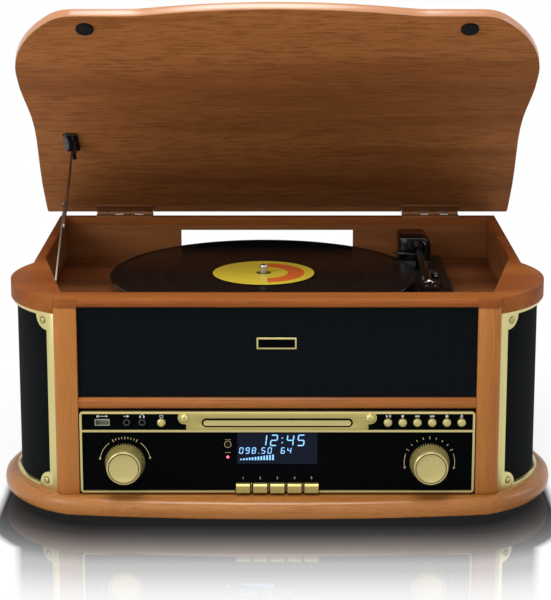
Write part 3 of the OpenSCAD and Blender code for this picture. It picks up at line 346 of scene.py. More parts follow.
def veneer(name, pale, mid, dark, grain, roughness=0.4, contrast=0.6, coat=0.1, gloss=0.12,
           lines=0.2, painted_edge_highlight=None):
    """Real-wood veneer under satin lacquer: soft flame figure, dark growth lines, fine pores.
    On the lid, the edge between its two faces, which the open lid shows, is also drawn paler: a
    painted highlight."""
    finish, shader, place_in = start(name, mid, roughness, Coat_Weight=coat,
                                     Coat_Roughness=0.22, Specular_IOR_Level=gloss)
    along = {"x": (0.06, 1, 1), "z": (1, 1, 0.06), "y": (1, 0.06, 1)}[grain]
    squeezed = add(finish, "Mapping", {"Vector": place_in}, Scale=along).outputs[0]
    warp = add(finish, "TexNoise", {"Vector": squeezed}, Scale=1000 / FLAME / 2.2, Detail=3.0,
               Roughness=0.55).outputs["Fac"]
    bands = add(finish, "TexWave", {"Vector": squeezed}, wave_type="BANDS",
                bands_direction="Y" if grain == "z" else "DIAGONAL", Scale=1000 / FLAME / 6.3,
                Distortion=9.0, Detail=4.0, Detail_Scale=1.6, Detail_Roughness=0.62)
    fibre_map = add(finish, "Mapping", {"Vector": place_in},
                    Scale=tuple(0.35 * v if v < 1 else v for v in along)).outputs[0]
    fibre = add(finish, "TexNoise", {"Vector": fibre_map}, Scale=1000 / FIBRE, Detail=4.0,
                Roughness=0.7).outputs["Fac"]
    tone = add(finish, "Mix", {SHARE: 0.5, UNDER: bands.outputs["Color"], OVER: warp},
               data_type="RGBA").outputs[MIXED]
    tone = add(finish, "Mix", {SHARE: 0.42, UNDER: tone, OVER: fibre},
               data_type="RGBA").outputs[MIXED]
    low, high = max(0.5 - contrast / 2, 0.02), min(0.5 + contrast / 2, 0.98)
    colour = add(finish, "ValToRGB", {"Fac": tone},
                 [(low, dark), (0.5, mid), (high, pale)]).outputs["Color"]
    pores = add(finish, "TexNoise", {"Vector": fibre_map}, Scale=1000 / PORE, Detail=1.0)
    pore_mask = add(finish, "ValToRGB", {"Fac": pores.outputs["Fac"]},
                    [(0.60, 0.0), (0.72, 1.0)]).outputs["Color"]
    shaded = add(finish, "Mix", {SHARE: pore_mask, UNDER: colour, OVER: dark},
                 data_type="RGBA").outputs[MIXED]
    shaded = add(finish, "Mix", {SHARE: 0.55, UNDER: colour, OVER: shaded},
                 data_type="RGBA").outputs[MIXED]
    line_map = add(finish, "Mapping", {"Vector": place_in},
                   Scale=tuple(0.12 if v < 1 else 1 for v in along)).outputs[0]
    wander = add(finish, "TexNoise", {"Vector": squeezed}, Scale=1000 / WANDER, Detail=2.0)
    drift = add(finish, "VectorMath", {0: wander.outputs["Color"]}, operation="SCALE", Scale=0.03)
    bent = add(finish, "VectorMath", {0: line_map, 1: drift.outputs[0]}, operation="ADD")
    rings = add(finish, "TexNoise", {"Vector": bent.outputs[0]}, Scale=1000 / GROWTH_LINE,
                Detail=4.0, Roughness=0.7)
    line_mask = add(finish, "ValToRGB", {"Fac": rings.outputs["Fac"]},
                    [(0.49, 0.0), (0.6, 1.0)]).outputs["Color"]
    line_share = add(finish, "Math", {0: line_mask, 1: lines}, operation="MULTIPLY").outputs[0]
    shaded = add(finish, "Mix", {SHARE: line_share, UNDER: shaded, OVER: dark},
                 data_type="RGBA").outputs[MIXED]
    # The lid's paler edge colour is a painted highlight; the coat on that edge is real gloss
    if painted_edge_highlight:
        edge = between_lid_faces(finish, place_in)
        shaded = add(finish, "Mix", {SHARE: edge, UNDER: shaded, OVER: painted_edge_highlight},
                     data_type="RGBA").outputs[MIXED]
        link(finish, edge, shader.inputs["Coat Weight"])
    link(finish, shaded, shader.inputs["Base Color"])
    relief = add(finish, "Bump", {"Height": fibre}, Strength=0.10, Distance=0.06 * MM)
    link(finish, relief.outputs["Normal"], shader.inputs["Normal"])
    return finish


def between_lid_faces(finish, place_in):
    """1 on the edge of the lid and 0 on its two faces, as it stands open."""
    offset = add(finish, "VectorMath", {0: place_in, 1: HINGE_PIN}, operation="SUBTRACT")
    height = add(finish, "VectorMath", {0: offset.outputs[0], 1: ACROSS_LID},
                 operation="DOT_PRODUCT").outputs["Value"]
    above = add(finish, "Math", {0: height, 1: EDGE_HIGHLIGHT_FROM}, operation="GREATER_THAN")
    below = add(finish, "Math", {0: height, 1: EDGE_HIGHLIGHT_TO}, operation="LESS_THAN")
    return add(finish, "Math", {0: above.outputs[0], 1: below.outputs[0]},
               operation="MULTIPLY").outputs[0]


def woven_cloth(name, colour, thread, across="X"):
    """Plain-woven speaker cloth: matt threads that cross, with a soft sheen. The real pitch is
    about 0.6 mm, drawn as 1.5 mm so that the weave shows."""
    finish, shader, place_in = start(name, colour, 0.95, Sheen_Weight=0.03,
                                     Sheen_Roughness=0.5, Specular_IOR_Level=0.01)
    warp, weft = [add(finish, "TexWave", {"Vector": place_in}, wave_type="BANDS",
                      bands_direction=direction, Scale=1000 / THREAD / 3.1416 / 2,
                      Distortion=0.6, Detail=1.0, Detail_Scale=3.0).outputs["Fac"]
                  for direction in ("Z", across)]
    threads = add(finish, "Math", {0: warp, 1: weft}, operation="MULTIPLY").outputs[0]
    slub = add(finish, "TexNoise", {"Vector": place_in}, Scale=1000 / SLUB, Detail=3.0)
    raised = add(finish, "Math", {0: slub.outputs["Fac"], 1: 0.5},
                 operation="MULTIPLY").outputs[0]
    height = add(finish, "Math", {0: threads, 1: raised}, operation="ADD").outputs[0]
    crowns = add(finish, "ValToRGB", {"Fac": height}, [(0.25, 0.0), (1.0, 1.0)])
    woven = add(finish, "Mix", {SHARE: crowns.outputs["Color"], UNDER: colour, OVER: thread},
                data_type="RGBA")
    link(finish, woven.outputs[MIXED], shader.inputs["Base Color"])
    relief = add(finish, "Bump", {"Height": height}, Strength=0.6, Distance=0.25 * MM)
    link(finish, relief.outputs["Normal"], shader.inputs["Normal"])
    return finish


def brush_lines(finish, place_in, drawn_out):
    """The fine lines that brushing leaves in metal, drawn out in one direction."""
    squeezed = add(finish, "Mapping", {"Vector": place_in}, Scale=drawn_out).outputs[0]
    return add(finish, "TexNoise", {"Vector": squeezed}, Scale=1000 / BRUSH_LINE,
               Detail=3.0).outputs["Fac"]


def gilt_metal(name, colour, roughness=0.3, brushed="x", shade="#8f8450", metal=0.85):
    """Champagne-gilt pressed aluminium: warm metal with a fine brushed grain in one direction."""
    finish, shader, place_in = start(name, colour, roughness, Metallic=metal)
    grain = brush_lines(finish, place_in, {"x": (0.02, 1, 1), "z": (1, 1, 0.02)}[brushed])
    share = add(finish, "Math", {0: grain, 1: 0.35}, operation="MULTIPLY").outputs[0]
    shaded = add(finish, "Mix", {SHARE: share, UNDER: colour, OVER: shade}, data_type="RGBA")
    link(finish, shaded.outputs[MIXED], shader.inputs["Base Color"])
    smudge = add(finish, "TexNoise", {"Vector": place_in}, Scale=1000 / SMUDGE, Detail=2.0)
    rough = add(finish, "MapRange", {"Value": smudge.outputs["Fac"]}, To_Min=roughness - 0.06,
                To_Max=roughness + 0.10)
    link(finish, rough.outputs[0], shader.inputs["Roughness"])
    relief = add(finish, "Bump", {"Height": grain}, Strength=0.08, Distance=0.03 * MM)
    link(finish, relief.outputs["Normal"], shader.inputs["Normal"])
    return finish


def moulded_abs(name, colour, roughness=0.5, grit=0.8, strength=0.25):
    """Injection-moulded ABS with a spark-eroded texture: a dull, even, slightly grainy black."""
    finish, shader, place_in = start(name, colour, roughness, IOR=1.5)
    cloud = add(finish, "TexNoise", {"Vector": place_in}, Scale=1000 / CLOUD, Detail=1.0)
    rough = add(finish, "MapRange", {"Value": cloud.outputs["Fac"]}, To_Min=roughness - 0.06,
                To_Max=roughness + 0.08)
    link(finish, rough.outputs[0], shader.inputs["Roughness"])
    grains = add(finish, "TexNoise", {"Vector": place_in}, Scale=1000 / grit, Detail=2.0)
    relief = add(finish, "Bump", {"Height": grains.outputs["Fac"]}, Strength=strength,
                 Distance=0.05 * MM)
    link(finish, relief.outputs["Normal"], shader.inputs["Normal"])
    return finish


def polished_acrylic(name, colour, tint):
    """Cast acrylic, back-painted black: deep, mirror-smooth, with the faintest haze of wiping."""
    finish, shader, place_in = start(name, colour, 0.07, IOR=1.49, Specular_IOR_Level=0.006)
    haze = add(finish, "TexNoise", {"Vector": place_in}, Scale=1000 / HAZE,
               Detail=3.0).outputs["Fac"]
    tinted = add(finish, "Mix", {SHARE: haze, UNDER: colour, OVER: tint}, data_type="RGBA")
    link(finish, tinted.outputs[MIXED], shader.inputs["Base Color"])
    rough = add(finish, "MapRange", {"Value": haze}, To_Min=0.04, To_Max=0.12)
    link(finish, rough.outputs[0], shader.inputs["Roughness"])
    return finish


def turned_metal(name, colour, roughness=0.25, ring=0.9, metal=1.0):
    """Lathe-turned metal: fine rings left by the tool, which stretch its highlights."""
    finish, shader, place_in = start(name, colour, roughness, Metallic=metal)
    grain = add(finish, "TexNoise", {"Vector": place_in}, Scale=1000 / ring,
                Detail=2.0).outputs["Fac"]
    rough = add(finish, "MapRange", {"Value": grain}, To_Min=roughness * 0.7,
                To_Max=roughness * 1.4)
    link(finish, rough.outputs[0], shader.inputs["Roughness"])
    relief = add(finish, "Bump", {"Height": grain}, Strength=0.05, Distance=0.02 * MM)
    link(finish, relief.outputs["Normal"], shader.inputs["Normal"])
    return finish


# The record's paper label, its half ring and its hub, as radii, and the straight side of the
# half ring, right of the spindle
LABEL_R, RING_OUT, RING_IN, HUB_R = 50.0 * MM, 40.5 * MM, 24.0 * MM, 7.5 * MM
RING_SIDE = 4.0 * MM


def pressed_vinyl():
    """Pressed PVC: a black disc whose grooves catch the light in narrow arcs, and its paper label
    in yellow with a plain orange-red half ring."""
    finish, shader, place_in = start("pressed_vinyl", "#0d0f11", 0.24, IOR=1.54,
                                     Specular_IOR_Level=0.1)
    spindle = middle("spindle")
    centred = add(finish, "Mapping", {"Vector": place_in}, Location=(-spindle.x, -spindle.y, 0))
    flat = add(finish, "VectorMath", {0: centred.outputs[0], 1: (1, 1, 0)},
               operation="MULTIPLY").outputs[0]
    radius = add(finish, "VectorMath", {0: flat}, operation="LENGTH").outputs["Value"]
    outwards = add(finish, "CombineXYZ", {"X": radius}).outputs[0]
    wide = add(finish, "TexNoise", {"Vector": outwards}, Scale=1000 / TRACK, Detail=3.0)
    tracks = add(finish, "ValToRGB", {"Fac": wide.outputs["Fac"]},
                 [(0.44, "#0a0c0e"), (0.5, "#15181b"), (0.58, "#0b0d0f")]).outputs["Color"]
    label, within, hub = [add(finish, "Math", {0: radius, 1: limit},
                              operation="LESS_THAN").outputs[0]
                          for limit in (LABEL_R, RING_OUT, HUB_R)]
    beyond = add(finish, "Math", {0: radius, 1: RING_IN}, operation="GREATER_THAN").outputs[0]
    ring = add(finish, "Math", {0: beyond, 1: within}, operation="MULTIPLY").outputs[0]
    right = add(finish, "SeparateXYZ", {"Vector": flat}).outputs["X"]
    half = add(finish, "Math", {0: right, 1: RING_SIDE}, operation="GREATER_THAN").outputs[0]
    red = add(finish, "Math", {0: ring, 1: half}, operation="MULTIPLY").outputs[0]
    fleck = add(finish, "TexNoise", {"Vector": place_in}, Scale=1000 / FLECK,
                Detail=4.0).outputs["Fac"]
    yellow, orange = [add(finish, "Mix", {SHARE: fleck, UNDER: one, OVER: other},
                          data_type="RGBA").outputs[MIXED]
                      for one, other in (("#f2dc4c", "#e3cb40"), ("#e2562e", "#ee8a3c"))]
    paper = add(finish, "Mix", {SHARE: red, UNDER: yellow, OVER: orange},
                data_type="RGBA").outputs[MIXED]
    paper = add(finish, "Mix", {SHARE: hub, UNDER: paper, OVER: "#6b5a1c"},
                data_type="RGBA").outputs[MIXED]
    disc = add(finish, "Mix", {SHARE: label, UNDER: tracks, OVER: paper}, data_type="RGBA")
    link(finish, disc.outputs[MIXED], shader.inputs["Base Color"])
    rough = add(finish, "MapRange", {"Value": label}, To_Min=0.17591, To_Max=0.43319)
    link(finish, rough.outputs[0], shader.inputs["Roughness"])
    rings = add(finish, "TexWave", {"Vector": flat}, wave_type="RINGS",
                rings_direction="SPHERICAL", Scale=1000 / GROOVE / 6.283, Distortion=0.0)
    vinyl = add(finish, "Math", {0: 1.0, 1: label}, operation="SUBTRACT").outputs[0]
    groove = add(finish, "Math", {0: rings.outputs["Fac"], 1: vinyl}, operation="MULTIPLY")
    relief = add(finish, "Bump", {"Height": groove.outputs[0]}, Strength=0.35,
                 Distance=0.12 * MM)
    link(finish, relief.outputs["Normal"], shader.inputs["Normal"])
    return finish


def lit(name, colour, strength):
    """Backlit liquid-crystal segments: an even glow."""
    finish, shader = start(name, colour, 0.4)[:2]
    shader.inputs["Emission Color"].default_value = linear(colour)
    shader.inputs["Emission Strength"].default_value = strength
    return finish


def soft_rubber(name, colour):
    """Moulded rubber: matt, with a faint bloom."""
    finish, shader, place_in = start(name, colour, 0.8, Specular_IOR_Level=0.1)
    bloom = add(finish, "TexNoise", {"Vector": place_in}, Scale=1000 / BLOOM,
                Detail=4.0).outputs["Fac"]
    shaded = add(finish, "Mix", {SHARE: bloom, UNDER: colour, OVER: "#1a1a1a"},
                 data_type="RGBA")
    link(finish, shaded.outputs[MIXED], shader.inputs["Base Color"])
    relief = add(finish, "Bump", {"Height": bloom}, Strength=0.15, Distance=0.1 * MM)
    link(finish, relief.outputs["Normal"], shader.inputs["Normal"])
    return finish


PLASTIC_HEX = "#15161a"
# Where the USB shell ends, by x, and how deep the tray's gilt bar is behind the front face
USB_SHELL_END, TRAY_BAR = -145, 2.95


def socket_row():
    """The jack sockets are black plastic and the USB shell at the left end is plated steel."""
    finish, shader, place_in = start("socket_plastic_and_steel", PLASTIC_HEX, 0.35)
    side = add(finish, "SeparateXYZ", {"Vector": place_in}).outputs["X"]
    shell = add(finish, "Math", {0: side, 1: USB_SHELL_END * MM},
                operation="LESS_THAN").outputs[0]
    shaded = add(finish, "Mix", {SHARE: shell, UNDER: PLASTIC_HEX, OVER: "#b4b2a4"},
                 data_type="RGBA")
    link(finish, shaded.outputs[MIXED], shader.inputs["Base Color"])
    metal = add(finish, "Math", {0: shell, 1: 0.9}, operation="MULTIPLY")
    link(finish, metal.outputs[0], shader.inputs["Metallic"])
    return finish


def tray_moulding(gilt):
    """The disc tray is black ABS with a gilt front bar: the finish changes behind the bar."""
    finish, shader, place_in = start("tray_abs_and_gilt", PLASTIC_HEX, 0.4)
    depth = add(finish, "SeparateXYZ", {"Vector": place_in}).outputs["Y"]
    bar = add(finish, "Math", {0: depth, 1: FRONT_Y + TRAY_BAR * MM},
              operation="LESS_THAN").outputs[0]
    grain = brush_lines(finish, place_in, (0.02, 1, 1))
    gold = add(finish, "Mix", {SHARE: grain, UNDER: gilt, OVER: "#a89d62"},
               data_type="RGBA").outputs[MIXED]
    shaded = add(finish, "Mix", {SHARE: bar, UNDER: PLASTIC_HEX, OVER: gold}, data_type="RGBA")
    link(finish, shaded.outputs[MIXED], shader.inputs["Base Color"])
    metal = add(finish, "Math", {0: bar, 1: 0.85}, operation="MULTIPLY")
    link(finish, metal.outputs[0], shader.inputs["Metallic"])
    return finish


CABINET = veneer("lacquered_veneer_cabinet", "#ab7036", "#9a602a", "#824a1e", "z")
RIM = veneer("lacquered_veneer_rim", "#975a29", "#834820", "#693617", "x", roughness=0.5,
             coat=0.0, gloss=0.05)
RAIL = veneer("lacquered_veneer_rail", "#9c5f2c", "#874e23", "#6c3b19", "x")
PLINTH = veneer("lacquered_veneer_plinth", "#a46b34", "#905a28", "#74431d", "x", coat=0.4)
# The well's walls and the side walls take a darker tone of the cabinet's veneer: painted shade, as
# the open lid casts in the well
SHADED_WELL = veneer("lacquered_veneer_well_painted_shade", "#8e5a32", "#7c4c2a", "#633c20", "x", roughness=0.5,
              coat=0.0, gloss=0.05)
SHADED_SIDE = veneer("lacquered_veneer_side_painted_shade", "#8e5a32", "#7c4c2a", "#633c20", "y", roughness=0.5,
              coat=0.0, gloss=0.05)
DECK = veneer("lacquered_veneer_deck", "#b0764a", "#95603a", "#76492b", "x", roughness=0.45,
              coat=0.0, gloss=0.08)
# The lid's edge is drawn paler than its faces, as a painted highlight
LID = veneer("lacquered_veneer_lid", "#a1683a", "#89552d", "#673c1e", "x", roughness=0.6,
             contrast=0.7, coat=0.0, gloss=0.04, painted_edge_highlight="#ad7751", lines=0.6)
CLOTH = woven_cloth("woven_speaker_cloth", "#0a0c0e", "#101417")
SIDE_CLOTH = woven_cloth("woven_speaker_cloth_sides", "#06090a", "#111516", across="Y")
GILT_HEX = "#c3b67c"
GILT = gilt_metal("champagne_gilt_frame", GILT_HEX)
GILT_UPRIGHT = gilt_metal("champagne_gilt_trim", "#d3c98c", 0.32, "z")
GILT_PLATE = gilt_metal("champagne_gilt_plate", "#ab9e60", 0.36)
GILT_KEY = gilt_metal("champagne_gilt_keys", "#ab9a5c", 0.34, metal=0.6)
GILT_TURNED = turned_metal("champagne_gilt_turned", "#b2a56c", 0.3, metal=0.6)
ACRYLIC = polished_acrylic("back_painted_acrylic", "#030406", "#060809")
WINDOW = polished_acrylic("smoked_acrylic_window", "#151926", "#1a1f2c")
LENS = polished_acrylic("infrared_acrylic_lens", "#1c1214", "#26171a")
ABS = moulded_abs("textured_abs_black", "#0f1012", 0.42)
ABS_SATIN = moulded_abs("satin_abs_black", "#07080a", 0.17, 0.5, 0.04)
VINYL = pressed_vinyl()
RUBBER = soft_rubber("moulded_rubber", "#0e0f10")
STEEL = turned_metal("zinc_plated_steel", "#b9bcc0", 0.3)
ALUMINIUM = turned_metal("turned_aluminium", "#a9acb0", 0.35)
CHROME = turned_metal("chromed_steel", "#dfe2e6", 0.1)
BRONZE = gilt_metal("bronzed_steel", "#82532e", 0.5, shade="#5a381d", metal=0.3)
STAY_STEEL = turned_metal("zinc_plated_stay", "#8d857a", 0.3)
BOARD = moulded_abs("circuit_board_laminate", "#1f5a2e", 0.4, 1.5, 0.1)
CONE = moulded_abs("pressed_paper_cone", "#26282b", 0.8, 1.2, 0.5)
TRAY = tray_moulding(GILT_HEX)
SOCKETS = socket_row()
SEGMENTS = lit("lit_display_segments", "#7fb9f0", 0.62)
LAMP = lit("lit_power_lamp", "#ff5a6e", 1.6)
PRINT = moulded_abs("screen_printed_ink", "#b8ad78", 0.6, 1.0, 0.05)
WHITE_PRINT = moulded_abs("screen_printed_white_ink", "#c9cac6", 0.6, 1.0, 0.05)


# ---- CAD nodes that keep their shape ----

def paint(finish, slot, *names):
    """Gives CAD nodes their finish. The slot is not used."""
    for name in names:
        node = NODES[name]
        node.data.materials.clear()
        node.data.materials.append(finish)


PRESET_KEYS = ["preset_key_%d" % i for i in range(1, 6)]
ROUND_BUTTONS = ["function_button"] + ["transport_button_%d" % i for i in range(1, 7)]
paint(RUBBER, "rubber", "rubber_feet", "drive_belt", "slip_mat", "lid_pads")
paint(CLOTH, "cloth", "front_grille")
paint(SIDE_CLOTH, "cloth", "side_grilles")
paint(CONE, "cone", "loudspeakers")
paint(ACRYLIC, "gloss_black", "fascia_panel")
paint(SOCKETS, "steel", "front_sockets")
paint(STEEL, "steel", "power_transformer", "platter_motor", "spindle", "disc_mechanism")
paint(BOARD, "circuit_board", "control_board", "main_board")
paint(ALUMINIUM, "platter_metal", "platter", "motor_pulley")
paint(VINYL, "vinyl", "record")
paint(TRAY, "gilt", "disc_tray")
paint(WINDOW, "display", "display_window")
paint(STAY_STEEL, "steel", "stay_upper_arm", "stay_lower_arm")
paint(ABS_SATIN, "black_plastic", "tonearm", "lid_stay_bracket", "stay_wall_bracket",
      "rear_sockets")
paint(GILT_TURNED, "gilt", *ROUND_BUTTONS)


# ---- CAD nodes that are shown with eased edges ----

refined("plinth", 0, PLINTH, flat_across=(0, 0, 1))
refined("lid_panel", 0, LID, flat_across=ACROSS_LID)
refined("front_pillars", 1.0, CABINET)
refined("middle_rail", 0.6, RAIL)
refined("top_frame", 1.4, RIM)
# The side walls, the back panel and the front board show the darker tone, which is painted shade
refined("side_walls", 0.25, SHADED_SIDE)
refined("back_panel", 0.25, SHADED_WELL)
refined("front_board", 0.6, SHADED_WELL)
refined("turntable_deck", 0.4, DECK)
refined("fascia_frame", 0.5, GILT)
refined("tray_bezel", 0.3, GILT_PLATE)
refined("grille_trims", 0.5, GILT_UPRIGHT)
refined("tonearm_base", 0.8, ABS)
refined("tonearm_turret", 1.0, ABS_SATIN)
refined("headshell", 0.5, ABS_SATIN)
refined("cue_lever", 0.3, ABS_SATIN)
refined("cue_platform", 0.3, ABS_SATIN)
refined("speed_switch", 0.4, ABS_SATIN)
refined("hinge_leaves", 0.25, BRONZE)
refined("lid_hinge_leaves", 0.25, BRONZE)
for key in PRESET_KEYS:
    refined(key, 0.3, GILT_KEY, segments=1)


# ---- Knobs ----

KNOB_FLUTES = 48
# How far out a flute lies at each of its steps, as a share of the radius, and the heights
# between which the flutes run
FLUTE_STEPS = (0.91, 0.91, 1.0, 1.0)
FLUTES_FROM, FLUTES_TO = 0.5, 12.6
KNOB_HEIGHT = 17.2
GROOVE_DEPTH = 0.62


def knob(node, name, body):
    """A fluted knob with a rounded lip, a ring groove and a dished face, turned in one piece, with
    a thin black ring in the groove as painted shade.
    """
    low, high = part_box(node)
    radius = (high.x - low.x) / 2 / MM
    top = KNOB_HEIGHT
    profile = [(3, (low.y - high.y) / MM + top), (3, 0), (radius - 3.4, 0), (radius, 0.6),
               (radius, 1.4), (radius - 1.3, 7), (radius - 2.2, 12.4), (radius - 2.3, 12.7),
               (radius - 2.5, 13.4), (radius - 2.6, top - 1.4), (radius - 2.9, top - 0.5),
               (radius - 3.5, top), (radius - 4.2, top), (radius - 4.4, top - 0.7),
               (radius - 4.9, top - 0.7), (radius - 5.1, top - 0.15), (radius - 8, top - 0.8),
               (radius - 12, top - 1.2), (1, top - 1.4), (0, top - 1.4)]
    piece = turned(profile, len(FLUTE_STEPS) * KNOB_FLUTES)
    for vertex in piece.data.vertices:
        reach = math.hypot(vertex.co.x, vertex.co.y) / MM
        if FLUTES_FROM < vertex.co.z / MM < FLUTES_TO and reach > radius - 3.2:
            turn = math.atan2(vertex.co.y, vertex.co.x) / math.tau
            step = round(turn * len(FLUTE_STEPS) * KNOB_FLUTES) % len(FLUTE_STEPS)
            vertex.co.x *= FLUTE_STEPS[step]
            vertex.co.y *= FLUTE_STEPS[step]
    piece.rotation_euler = TURNS[FORWARD]
    piece.location = Vector(((low.x + high.x) / 2, low.y + top * MM, (low.z + high.z) / 2))
    front = piece.location - Vector((0, (top - GROOVE_DEPTH) * MM, 0))
    settle(piece, name, body, GILT_TURNED, 28)
    # A thin black ring in the groove's bottom is painted shade
    groove = turned([(radius - 4.3, 0), (radius - 4.3, 0.1), (radius - 5.0, 0.1),
                     (radius - 5.0, 0), (radius - 4.3, 0)], 96, front, FORWARD, closed=False)
    settle(groove, name + "_groove_painted_shade", body, ABS)
    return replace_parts(piece, node)


knob("volume_knob", "volume_knob_turned", "volume")
knob("tuning_knob", "tuning_knob_turned", "tuning")


# ---- Marks on the fascia ----

FACE_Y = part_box("fascia_panel")[0].y
MARK_Y = FACE_Y - 0.05 * MM
WINDOW_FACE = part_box("display_window")[0].y
# The remote sensor and the power lamp, left of the display
LAMP_X, SENSOR_HEIGHT, LAMP_HEIGHT = -44, 46.4, 34.9
marks = []
white_marks = []


def beside(point, dx, dz):
    """A place on the fascia's face, off a point's own x and z, in millimetres."""
    return Vector((point.x + dx * MM, MARK_Y, point.z + dz * MM))


def on_front(x, height, y):
    """A place on a face of the front, by x and height in the cabinet's frame and its own y."""
    spot = place(x, 0, height)
    spot.y = y
    return spot


ARC_R, TICKS = 22.5, 9
ARC_ENDS = {"volume_knob": ((128, 172), (52, 10)), "tuning_knob": ((160, 193), (20, -14))}


def round_point(centre, turn):
    """A place on the arc about a knob, by an angle in degrees from the right."""
    return beside(centre, ARC_R * math.cos(math.radians(turn)),
                  ARC_R * math.sin(math.radians(turn)))


for node, arcs in ARC_ENDS.items():
    centre = middle(node)
    for first, last in arcs:
        centre_mark = Vector((centre.x, MARK_Y, centre.z))
        marks.append(arc_mark(centre_mark, ARC_R, first, last, 0.45))
        heading = last + (90 if last > first else -90)
        marks.append(flat_mark(3, 1.3, round_point(centre, last), heading))
    first, last = arcs[0][0] - 10, arcs[1][0] + 10
    for step in range(TICKS):
        turn = first + (last - first) * step / (TICKS - 1)
        marks.append(bar_mark(2.8 if step % 4 == 0 else 1.8, 0.55, round_point(centre, turn),
                              turn))

# How far an icon is above its button's middle, and how much larger than its marks it is drawn
ABOVE_BUTTON = 5.5
ICON_GROWTH = 1.3
buttons = [middle("transport_button_%d" % i) for i in range(1, 7)]
play, halt, back, onward, dot, eject = [beside(b, 0, ABOVE_BUTTON) for b in buttons]


def shifted(point, dx, dz=0.0):
    """A point moved over the fascia, in millimetres."""
    return point + Vector((dx * MM, 0, dz * MM))


white_marks += [
    flat_mark(3, 1.1, shifted(play, -0.8), 0), bar_mark(1.9, 0.4, shifted(play, 1.0), 90),
    bar_mark(1.9, 0.4, shifted(play, 1.8), 90), bar_mark(1.7, 1.7, halt),
    flat_mark(3, 1.1, shifted(back, -0.8), 180), flat_mark(3, 1.1, shifted(back, 0.8), 180),
    flat_mark(3, 1.1, shifted(onward, -0.8), 0), flat_mark(3, 1.1, shifted(onward, 0.8), 0),
    flat_mark(24, 1.0, dot), flat_mark(3, 1.1, shifted(eject, 0, 0.4), 90),
    bar_mark(2.0, 0.4, shifted(eject, 0, -0.8))]
function_at = beside(middle("function_button"), 0, ABOVE_BUTTON)
white_marks += [arc_mark(function_at, 1.1, 130, 410, 0.35),
                bar_mark(1.1, 0.35, shifted(function_at, 0, 1.0), 90)]
socket_low, socket_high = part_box("front_sockets")
PHONES_X = socket_high.x - 3.15 * MM
AUX_X = PHONES_X - 13.7 * MM
USB_X = socket_low.x + 6.5 * MM
MARK_Z = function_at.z
phones, aux, usb = [Vector((x, MARK_Y, MARK_Z)) for x in (PHONES_X, AUX_X, USB_X)]
white_marks += [arc_mark(phones, 1.3, 0, 180, 0.35), flat_mark(3, 1.1, shifted(aux, 0.9), 0),
                bar_mark(1.1, 1.0, shifted(phones, -1.3, -0.5), 90),
                bar_mark(1.1, 1.0, shifted(phones, 1.3, -0.5), 90),
                bar_mark(2.4, 0.35, shifted(aux, -0.9)), bar_mark(6.0, 0.35, usb),
                flat_mark(12, 0.8, shifted(usb, -3)), flat_mark(3, 1.0, shifted(usb, 3), 0)]


NUMERAL_SIZE, NUMERAL_DEPTH, NUMERAL_RISE = 3.2, 0.25, 4.6


def numeral(text, at):
    """A plain numeral, cut as a thin solid."""
    bpy.ops.object.text_add(location=(0, 0, 0))
    piece = bpy.context.object
    piece.data.body = text
    piece.data.size = NUMERAL_SIZE * MM
    piece.data.extrude = NUMERAL_DEPTH * MM / 2
    piece.data.align_x = "CENTER"
    piece.data.align_y = "CENTER"
    piece.data.resolution_u = 3
    only(piece)
    bpy.ops.object.convert(target="MESH")
    piece = bpy.context.object
    piece.rotation_euler = TURNS[FORWARD]
    piece.location = at
    bpy.ops.object.transform_apply(location=True, rotation=True)
    return piece


for number, key in enumerate(PRESET_KEYS, 1):
    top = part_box(key)[1].z
    at = Vector((middle(key).x, MARK_Y, top + NUMERAL_RISE * MM))
    marks.append(numeral(str(number), at))
marks.append(arc_mark(on_front(LAMP_X, SENSOR_HEIGHT, MARK_Y), 3.0, 92, 448, 0.35))
for height in (SENSOR_HEIGHT + 4.4, LAMP_HEIGHT + 4.0):
    spot = on_front(LAMP_X, height, MARK_Y)
    marks += [bar_mark(1.0, 0.4, shifted(spot, dx)) for dx in (-1.8, 0, 1.8)]
key_low, key_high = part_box("preset_key_1")
key_step = middle("preset_key_2").x - middle("preset_key_1").x
dividers = []
for step in range(len(PRESET_KEYS) - 1):
    spot = Vector((middle("preset_key_1").x + key_step * (step + 0.5), FACE_Y - 0.5 * MM,
                   (key_low.z + key_high.z) / 2))
    dividers.append(block(0.8, 1.6, (key_high.z - key_low.z) / MM, spot, 0.2, 1))
settle(joined(dividers), "preset_key_dividers", "cabinet", GILT_KEY)
settle(joined(marks), "fascia_gold_marks", "cabinet", PRINT)
for mark in white_marks:
    # Each icon is drawn larger about its own middle
    only(mark)
    bpy.ops.object.transform_apply(location=True, rotation=True, scale=True)
    corners = [vertex.co for vertex in mark.data.vertices]
    centre = sum(corners, Vector()) / len(corners)
    spot = min([play, halt, back, onward, dot, eject, function_at, phones, aux, usb],
               key=lambda icon: (icon - centre).length)
    for corner in corners:
        corner.x += (corner.x - spot.x) * (ICON_GROWTH - 1)
        corner.z += (corner.z - spot.z) * (ICON_GROWTH - 1)
settle(joined(white_marks), "fascia_white_marks", "cabinet", WHITE_PRINT)


# ---- Display ----

SEGMENTS_ON = {"0": "abcdef", "1": "bc", "2": "abged", "3": "abgcd", "4": "fgbc", "5": "afgcd",
               "6": "afgedc", "7": "abc", "8": "abcdefg", "9": "abcdfg"}
SEGMENT_Y = WINDOW_FACE - 0.02 * MM
SEGMENT_DEPTH, SEGMENT_EDGE = 0.2, 0.07
# The numerals lean by this share of their height, and so do their upright bars, in degrees
LEAN, LEAN_ANGLE = 0.12, 6.8


